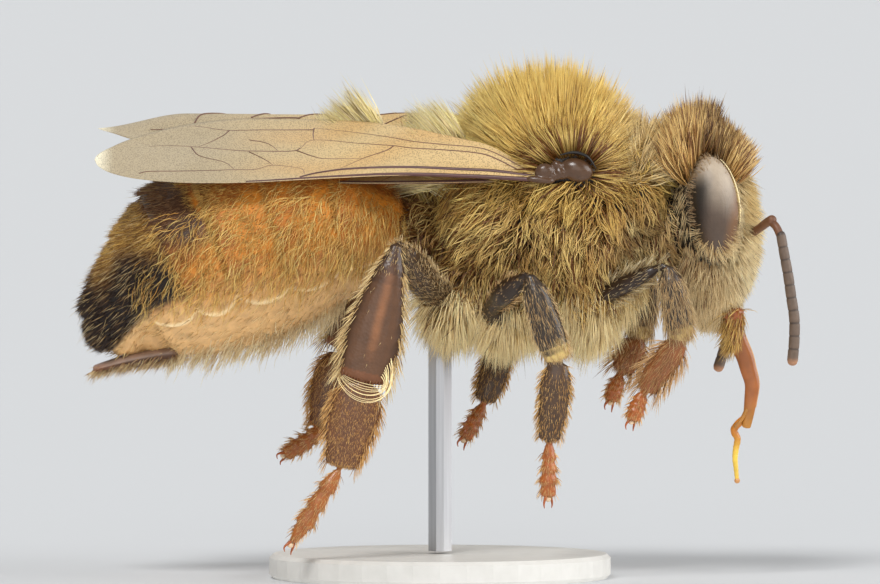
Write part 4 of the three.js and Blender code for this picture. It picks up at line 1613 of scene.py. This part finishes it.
def buildFeeler(side):
    stalk, _ = sectionsOf(f"feeler_stalk_{side}", 5, headMiddle, 0.2, 0.12)
    whip, _ = sectionsOf(f"feeler_{side}", 7, stalk[-1], 0.16, 0.16)
    bm = bmesh.new()
    path = smoothPath(stalk, 12)
    tube(bm, path, feeler["stalk"] * (1 + 0.25 * np.linspace(0, 1, 12) ** 2), 14)
    elbow = smoothPath([path[-2], (path[-1] + whip[0]) / 2, whip[0] * 0.8 + whip[1] * 0.2], 8)
    tube(bm, elbow, np.full(8, feeler["stalk"]), 14)
    tint, nodes = plainTint(feelerPaints["stalk"]), [f"feeler_stalk_{side}"]
    addShape(f"feeler_scape_{side}", bm, looks["feeler"], tint, nodes)
    count = feeler["rings"] * feeler["steps"] + 1
    path = smoothPath(whip, count)
    if side == "left":  # hangs close behind the face
        path[:, 0] -= feeler["tuck"] * np.sin(np.linspace(0, math.pi, count))
    share = np.linspace(0, feeler["rings"], count) % 1
    groove = np.exp(-((np.minimum(share, 1 - share) / 0.07) ** 2))
    swell = 0.86 + 0.14 * np.linspace(0, 1, count) ** 0.5
    bm = bmesh.new()
    tube(bm, path, feeler["radius"] * swell * (1 - feeler["groove"] * groove), 20)

    def markings(points):
        at = nearestRow(path, points)
        grooved, pale = groove[at] * 0.8, ease(0.95, 1, at / count) * 0.7
        shell = feelerPaints["shell"]
        return paintOver(feelerPaints, shell, ("groove", grooved), ("tip", pale))

    name, nodes = f"feeler_whip_{side}", [f"feeler_{side}"]
    addShape(name, bm, looks["feeler"], markings, nodes, rounded=False)


for side in sides:
    buildFeeler(side)


# Mouth: jaws, the two blades of the sheath, and the tongue between them.
mouth = {  # half sizes, a pair of them being at the root and at the tip
    "blade": 0.07, "bladeDepth": 0.19, "bladeGap": 0.085, "edge": (0.034, 0.02),
    "palp": (0.045, 0.03), "tongue": (0.085, 0.045), "spoon": 0.06,
}
mouthPaints = {
    "jaw": paint(150, 84, 42),
    "jawTip": paint(120, 62, 32),
    "blade": paint(150, 88, 44),
    "bladeEnd": paint(166, 112, 46),
    "edge": paint(196, 140, 84),
    "tongue": paint(196, 122, 44),
    "tongueEnd": paint(222, 184, 72),
}


def fadeTint(first, second, high, low):  # from one colour down to another
    return lambda points: blendTint(first, second, 1 - ease(low, high, points[:, 2]))


def buildJaw(side):
    centres, _ = sectionsOf(f"mandible_{side}", 6, headMiddle, 0.06, 0.06)
    path, share = smoothPath(centres, 16), np.linspace(0, 1, 16)
    sizes = np.column_stack([0.15 - 0.07 * share, 0.25 - 0.16 * share**0.8])
    bm = bmesh.new()
    loft(bm, *roundEnds(path, sizes), around=18)
    tint = fadeTint(mouthPaints["jaw"], mouthPaints["jawTip"], path[-5][2], path[-1][2])
    return addShape(f"jaw_{side}", bm, looks["mouth"], tint, [f"mandible_{side}"])


mouthCoat = {
    "count": 420, "seed": 97, "rings": 3, "width": 0.02, "clump": 0.2, "lock": 6, "stray": 0.35,
}


def growMouthBristles(side, sign, skin):
    top, low = skin["points"][:, 2].max(), skin["points"][:, 2].min()

    def density(points):
        return np.clip(1.2 - (points[:, 0] - headMiddle[0]) * 0.6, 0.3, 1.5)

    def style(points, normals, random):
        dark = random.uniform(0, 0.7, len(points))
        tip = blendTint(furPaints["bandYellow"], furPaints["crownDark"], dark)
        return {
            "lie": np.broadcast_to([-0.5, 0, -1.0], points.shape),
            "lift": 34.0,
            "length": random.uniform(0.25, 0.5, len(points)),
            "pull": np.array([-0.25, 0, -0.6]),
            "rootTint": darker(tip, 0.45),
            "tipTint": tip,
        }

    def spots(roots):
        angle = np.arctan2(roots[:, 1] - skin["points"][:, 1].mean(), roots[:, 0] - headMiddle[0])
        return np.column_stack([(roots[:, 2] - low) / (top - low), angle / (2 * math.pi) + 0.5])

    growCoat(f"coat_jaw_{side}", skin, density, style, mouthCoat, spots, sign)


def buildTongue():
    centres, _ = sectionsOf("tongue_sheath", 8, headMiddle, 0.14, 0.14)
    path, share = smoothPath(centres, 26), np.linspace(0, 1, 26)
    narrowing = 1 - 0.5 * share**1.5
    bm = bmesh.new()
    for sign in sides.values():
        blade = path + [0, mouth["bladeGap"] * sign, 0]
        wide = mouth["blade"] * (1 - 0.3 * share)
        sizes = np.column_stack([wide, mouth["bladeDepth"] * narrowing])
        loft(bm, *roundEnds(blade, sizes), around=16)
    tint = fadeTint(mouthPaints["blade"], mouthPaints["bladeEnd"], path[17][2], path[-1][2])
    addShape("sheath_blades", bm, looks["mouth"], tint, ["tongue_sheath"])
    bm = bmesh.new()
    edge = (path + acrossFront(path) * (0.18 * narrowing)[:, None])[2:-5]
    tube(bm, edge, np.linspace(*mouth["edge"], len(edge)), 12)
    addShape("sheath_edge", bm, looks["mouth"], plainTint(mouthPaints["edge"]))
    bm = bmesh.new()
    for sign in sides.values():
        root = path[-5] + [-0.06, 0.11 * sign, 0]
        tip = root + [-0.24, 0.05 * sign, -0.34]
        palp = smoothPath([root, (root + tip) / 2 + [0.02, 0, -0.02], tip], 8)
        tube(bm, palp, np.linspace(*mouth["palp"], 8), 10)
    addShape("palps", bm, looks["mouth"], plainTint(mouthPaints["bladeEnd"]))
    centres, _ = sectionsOf("tongue", 6, path[-1], 0.02, 0.12)
    lick = smoothPath(np.vstack([path[-4], centres]), 40)
    ripple = 1 + 0.08 * np.sin(np.arange(40) * 2.1)
    bm = bmesh.new()
    tube(bm, lick, np.linspace(*mouth["tongue"], 40) * ripple, 14)
    tint = fadeTint(mouthPaints["tongue"], mouthPaints["tongueEnd"], lick[8][2], lick[25][2])
    addShape("tongue_rod", bm, looks["mouth"], tint, ["tongue"])
    bm = bmesh.new()
    ball(bm, lick[-1] + unit(lick[-1] - lick[-3]) * 0.05, [mouth["spoon"]] * 3, fine=3)
    tint = plainTint(mouthPaints["edge"])
    addShape("tongue_spoon", bm, looks["mouth"], tint, rounded=False)


def acrossFront(path):  # the forward side of a path that hangs down
    runs = unit(np.gradient(path, axis=0))
    return unit(np.array([1.0, 0, 0]) - runs[:, :1] * runs)


for side, sign in sides.items():
    growMouthBristles(side, sign, buildJaw(side))
buildTongue()
print("head parts ready")


# Wings: a thin tinted sheet with raised veins, held near the middle of its solid.
wing = {
    "thick": 0.012, "across": 26, "along": 110, "margin": 0.03,
    "rootLift": 0.42, "radii": {"edges": 0.045, "veins": 0.019},
}
wingShapes = {
    # Edges go by shares of the length back and of the breadth inwards. Veins go by shares
    # of the length back and of the way from the front edge to the rear edge there.
    "fore": {
        "front": [
            (0, 0), (0.16, 0.05), (0.32, 0.08), (0.5, 0.04), (0.66, 0), (0.8, 0.01),
            (0.9, 0.07), (0.96, 0.16), (0.99, 0.26), (1, 0.36),
        ],
        "rear": [
            (0, 0.12), (0.1, 0.24), (0.28, 0.5), (0.5, 0.86), (0.66, 0.95), (0.8, 0.86),
            (0.91, 0.68), (0.97, 0.52), (0.993, 0.43), (1, 0.36),
        ],
        "edges": [
            [(0.0, 0.02), (0.16, 0.02), (0.32, 0.02), (0.46, 0.02), (0.56, 0.015), (0.66, 0.01)],
            [(0.0, 0.25), (0.16, 0.18), (0.3, 0.165), (0.43, 0.15), (0.5, 0.1), (0.54, 0.04)],
        ],
        "veins": [
            [
                (0.02, 0.45), (0.1, 0.6), (0.16, 0.63), (0.28, 0.56),
                (0.33, 0.57), (0.41, 0.585), (0.51, 0.64), (0.54, 0.51),
            ],
            [(0.33, 0.57), (0.35, 0.48), (0.4, 0.35), (0.45, 0.17)],
            [
                (0.03, 0.6), (0.13, 0.8), (0.21, 0.73), (0.28, 0.69),
                (0.35, 0.75), (0.43, 0.81), (0.51, 0.86),
            ],
            [
                (0.54, 0.51), (0.56, 0.47), (0.64, 0.48), (0.69, 0.5),
                (0.77, 0.59), (0.84, 0.68), (0.88, 0.72),
            ],
            [(0.55, 0.48), (0.51, 0.385), (0.48, 0.35), (0.4, 0.35)],
            [(0.51, 0.86), (0.512, 0.75), (0.51, 0.64)],
            [(0.51, 0.83), (0.6, 0.83), (0.7, 0.83), (0.76, 0.92), (0.79, 0.97)],
            [(0.7, 0.83), (0.715, 0.75), (0.745, 0.65), (0.77, 0.59)],
            [(0.785, 0.6), (0.765, 0.44), (0.71, 0.33), (0.687, 0.22)],
            [
                (0.9, 0.13), (0.87, 0.19), (0.77, 0.205), (0.69, 0.21),
                (0.64, 0.21), (0.6, 0.27), (0.54, 0.2), (0.53, 0.1),
            ],
            [(0.655, 0.47), (0.62, 0.36), (0.6, 0.27)],
            [(0.655, 0.66), (0.615, 0.6), (0.59, 0.48)],
        ],
    },
    "hind": {
        "front": [(0, 0.06), (0.3, 0.0), (0.6, 0.02), (0.85, 0.2), (1.0, 0.5)],
        "rear": [(0, 0.3), (0.15, 0.5), (0.4, 0.9), (0.62, 1.0), (0.85, 0.86), (1.0, 0.5)],
        "edges": [[(0.0, 0.05), (0.3, 0.03), (0.62, 0.03), (0.85, 0.03)]],
        "veins": [
            [(0.0, 0.4), (0.25, 0.4), (0.45, 0.36), (0.62, 0.4), (0.8, 0.5)],
            [(0.45, 0.36), (0.5, 0.06)],
            [(0.02, 0.6), (0.25, 0.65), (0.45, 0.75)],
            [(0.3, 0.65), (0.42, 0.37)],
        ],
    },
}
wingBends = {  # offsets at the front edge and the rear, height of the arch, dip of the rear
    ("fore", "right"): (-0.2, 0.34, 0.0, 0.0),
    ("fore", "left"): (0.0, -0.02, 0.54, 0.46),
    ("hind", "right"): (0.12, 0.18, 0.0, 0.0),
    ("hind", "left"): (0.0, 0.0, 0.0, 0.0),
}
wingPaints = {
    "blush": paint(204, 160, 100),
    "root": paint(212, 182, 130),
    "middle": paint(208, 182, 134),
    "end": paint(176, 160, 130),
    "tip": paint(244, 236, 208),
    "veins": paint(104, 70, 52),
    "edges": paint(84, 52, 48),
}


def wingFrame(name, side, sign):
    # The origin and axes of a wing's solid, and its length, from its flat upper face.
    corners = trianglesOf(f"{name}wing_{side}")
    cross = crossOf(corners)
    upper = cross[cross[:, 2] > 0.7 * np.linalg.norm(cross, axis=1)]
    normal = unit(upper.sum(0))
    back = unit(np.array([-1.0, 0, 0]) + normal[0] * normal)
    inward = np.cross(normal, back)
    inward = inward if inward[1] * sign < 0 else -inward
    points = corners.reshape(-1, 3)
    spans = [points @ back, points @ inward, points @ normal]
    low = [span.min() for span in spans]
    origin = back * low[0] + inward * low[1] + normal * (spans[2].min() + spans[2].max()) / 2
    return {
        "origin": origin, "back": back, "inward": inward, "normal": normal,
        "length": np.ptp(spans[0]), "breadth": np.ptp(spans[1]) - 2 * wing["margin"],
    }


def edgeAt(edge, along):
    shape = smoothPath(edge, 60)
    return np.interp(along, shape[:, 0], shape[:, 1])


def wingPlace(plan, name, side, along, chord, rise=0.0):
    # A place on a wing's curved sheet, by the share back and the share of the chord there.
    shape = wingShapes[name]
    front, rear = edgeAt(shape["front"], along), edgeAt(shape["rear"], along)
    across = front + (rear - front) * chord
    low, high, arch, dip = wingBends[name, side]
    bend = low + (high - low) * across - dip * ease(0.3, 0.9, across)
    arch = arch * (1.25 - 0.6 * along) * (1 - 0.9 * ease(0.8, 1.02, along))
    bend = bend + arch * np.exp(-(((across - 0.35) / 0.25) ** 2))
    fold = 0.035 * np.sin(chord * 11 + 3 * along) * (1 - along)
    lift = wing["rootLift"] * ease(-0.02, 0.14, along) * (1 - ease(0.25, 0.62, along))
    height = bend + lift * chord * (name == "fore" and side == "right") + fold + rise
    return (
        plan["origin"]
        + plan["back"] * (along * (plan["length"] - 2 * wing["margin"]) + wing["margin"])[..., None]
        + plan["inward"] * (across * plan["breadth"] + wing["margin"])[..., None]
        + plan["normal"] * height[..., None]
    )


def buildWing(name, side, sign):
    plan = wingFrame(name, side, sign)
    plan["breadth"] = wingFrame(name, "right", -1)["breadth"]
    bm = bmesh.new()
    bmesh.ops.create_grid(bm, x_segments=wing["along"], y_segments=wing["across"], size=0.5)
    flat = np.array([vert.co for vert in bm.verts]) + 0.5
    along = 1 - (1 - flat[:, 0]) ** 1.4
    for vert, place in zip(bm.verts, wingPlace(plan, name, side, along, flat[:, 1])):
        vert.co = place
    bmesh.ops.remove_doubles(bm, verts=bm.verts, dist=0.0005)
    bmesh.ops.solidify(bm, geom=bm.faces[:], thickness=wing["thick"])

    def markings(points):
        share = ((points - plan["origin"]) @ plan["back"]) / plan["length"]
        inward = ((points - plan["origin"]) @ plan["inward"]) / plan["breadth"]
        blush = 0.5 + 0.5 * np.sin(9 * share + 14 * inward + np.sin(17 * share))
        return paintOver(
            wingPaints,
            wingPaints["root"],
            ("middle", ease(0.1, 0.4, share)),
            ("end", ease(0.4, 0.8, share)),
            ("blush", 0.5 * blush * window(0.12, 0.62, 0.12, share)),
            ("tip", ease(0.95, 1.0, share)),
        )

    piece, nodes = f"wing_{name}_{side}", [f"{name}wing_{side}"]
    addShape(piece, bm, looks["membrane"], markings, nodes, rounded=False)
    for group, radius in wing["radii"].items():
        bm = bmesh.new()
        for vein in wingShapes[name][group]:
            path = smoothPath(vein, 8 * len(vein))
            centres = wingPlace(plan, name, side, path[:, 0], path[:, 1], rise=0.004)
            tube(bm, centres, radius * np.linspace(1, 0.55, len(centres)), 8, domed=False)
        tint = plainTint(wingPaints[group])
        addShape(f"{group}_{name}_{side}", bm, looks["vein"], tint, rounded=False)


for side, sign in sides.items():
    for name in ("fore", "hind"):
        buildWing(name, side, sign)


# Wing bases: a small domed plate over each wing root, with hinge plates behind it, and a painted
# shadow above the plate.
wingBase = {"voxel": 0.025, "soften": 1, "plates": [
    # An offset from the wing root, half sizes, a lean and a fineness.
    [(0.06, 0.0, 0.0), (0.34, 0.2, 0.24), 0.25, 4],
    [(-0.27, 0.02, -0.06), (0.17, 0.16, 0.13), 0.5, 3],
    [(-0.42, 0.05, -0.12), (0.17, 0.12, 0.09), 0.2, 3],
    [(-0.33, 0.03, 0.1), (0.13, 0.12, 0.09), 0.4, 3],
    [(-0.6, 0.08, -0.03), (0.2, 0.12, 0.17), -0.2, 3],
    [(-0.68, 0.12, -0.2), (0.3, 0.1, 0.08), 0.1, 3],
]}
# The groove colour is that of a painted shadow over the plate.
basePaints = {"plate": paint(78, 54, 36), "groove": paint(18, 14, 12)}


def buildWingBase(side, sign):
    root = wingRoot * [1, sign, 1]
    bm = bmesh.new()
    for (ahead, aside, up), half, lean, fine in wingBase["plates"]:
        ball(bm, root + [ahead, aside * sign, up], half, lean, fine)
    mesh = weld(bm, f"wing_base_{side}", wingBase["voxel"], wingBase["soften"])
    setTint(mesh, basePaints["plate"])
    addPiece(f"wing_base_{side}", mesh, looks["claw"], [f"tegula_{side}"])
    # A painted shadow: a thin black arch over the plate, where the gap above it lies in shade.
    arch = [[-0.3, 0, 0.3], [0.0, 0, 0.36], [0.28, 0, 0.27], [0.46, 0, 0.02]]
    path = smoothPath(root + np.array(arch), 18) + [0, 0.05 * sign, 0]
    thin = 0.035 * np.sin(np.linspace(0.3, math.pi - 0.3, 18))
    bm = bmesh.new()
    loft(bm, path, np.column_stack([thin * 3, thin]), around=10)
    tint = plainTint(basePaints["groove"])
    addShape(f"wing_root_shadow_{side}", bm, looks["feeler"], tint)


for side, sign in sides.items():
    buildWingBase(side, sign)
print("wings ready")


# The stand keeps its solids, with a painted base and a steel rod.
def addRamp(tree, shader, pattern, dark, light):
    ramp = addNode(tree, "ValToRGB")
    for stop, colour in zip(ramp.color_ramp.elements, (dark, light)):
        stop.color = (*colour, 1)
    tree.links.new(pattern, ramp.inputs["Fac"])
    tree.links.new(ramp.outputs["Color"], shader.inputs["Base Color"])


def standLooks():
    base, tree, shader = newLook("standPaint", Roughness=0.45)
    grain = addPattern(tree, "TexNoise", Scale=3000, Detail=4.0)
    addRamp(tree, shader, grain.outputs["Fac"], paint(196, 194, 188), paint(214, 212, 207))
    addBump(tree, shader, grain.outputs["Fac"], 0.000004, 0.4)
    rod, tree, shader = newLook("rodSteel", Roughness=0.3, Metallic=1.0)
    stretch = addPattern(tree, "Mapping", Scale=(20000, 20000, 400))
    brushed = addNode(tree, "TexNoise", Scale=1.0, Detail=3.0)
    tree.links.new(stretch.outputs["Vector"], brushed.inputs["Vector"])
    addRamp(tree, shader, brushed.outputs["Fac"], paint(168, 168, 170), paint(206, 206, 208))
    return {"stand_base": base, "stand_rod": rod}


for node, look in standLooks().items():
    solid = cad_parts[node]
    solid.data.materials.clear()
    solid.data.materials.append(look)


# Floor, light and camera.
studio = {
    "floor": paint(204, 206, 208),
    "floorReach": 1500,
    "skyLight": 0.3,
    "suns": [  # strength, softness in degrees, elevation and azimuth of where it stands
        (1.9, 20, 46, -20),
        (1.5, 40, 22, 66),
        (0.7, 50, 8, 0),
        (0.5, 40, 40, 200),
        (1.3, 50, 12, 104),
        (1.7, 70, -56, 10),
        (0.6, 60, -30, 190),
    ],
}


def buildStudio():
    bm = bmesh.new()
    bmesh.ops.create_grid(bm, x_segments=1, y_segments=1, size=studio["floorReach"])
    mesh = evaluated(bm, "floor")
    mesh.transform(Matrix.Scale(mm, 4))
    matt = {"Roughness": 0.9, "Specular_IOR_Level": 0.0, "Base_Color": (*studio["floor"], 1)}
    mesh.materials.append(newLook("floorPaint", **matt)[0])
    floor = addObject("floor", mesh)
    floor.visible_shadow = False  # two of the lamps light the underside
    onFloor = studio["skyLight"]
    for index, (strength, softness, elevation, azimuth) in enumerate(studio["suns"]):
        lamp = bpy.data.lights.new(f"sun{index}", "SUN")
        lamp.energy = strength
        lamp.angle = math.radians(softness)
        sun = addObject(f"sun{index}", lamp)
        sun.rotation_euler = (math.radians(90 - elevation), 0, math.radians(azimuth))
        onFloor += strength * math.sin(math.radians(max(elevation, 0))) / math.pi
    world = bpy.data.worlds.new("studio")
    bpy.context.scene.world = world
    world.use_nodes = True
    tree = world.node_tree
    light = tree.nodes["Background"]
    light.inputs["Color"].default_value = (1, 1, 1, 1)
    light.inputs["Strength"].default_value = studio["skyLight"]
    seen = addNode(tree, "Background", Strength=1.0, Color=(*(studio["floor"] * onFloor), 1))
    path = addNode(tree, "LightPath")
    choose = addNode(tree, "MixShader")
    tree.links.new(path.outputs["Is Camera Ray"], choose.inputs[0])
    tree.links.new(light.outputs[0], choose.inputs[1])
    tree.links.new(seen.outputs[0], choose.inputs[2])
    tree.links.new(choose.outputs[0], tree.nodes["World Output"].inputs["Surface"])
    bpy.context.scene.view_settings.view_transform = "Standard"


view = {"width": 18.03, "height": 5.86, "elevation": 2.0, "lens": 600}


def buildCamera():
    middle = np.array([0, 0, view["height"]])
    data = bpy.data.cameras.new("camera")
    data.lens = view["lens"]
    data.clip_start = 0.01
    data.clip_end = 10
    distance = view["width"] * view["lens"] / data.sensor_width
    lean = math.radians(view["elevation"])
    camera = addObject("camera", data)
    offset = np.array([0, -math.cos(lean), math.sin(lean)]) * distance
    camera.location = Vector((middle + offset) * mm)
    camera.rotation_euler = (math.radians(90) - lean, 0, 0)
    bpy.context.scene.camera = camera


buildStudio()
buildCamera()
print("studio ready")
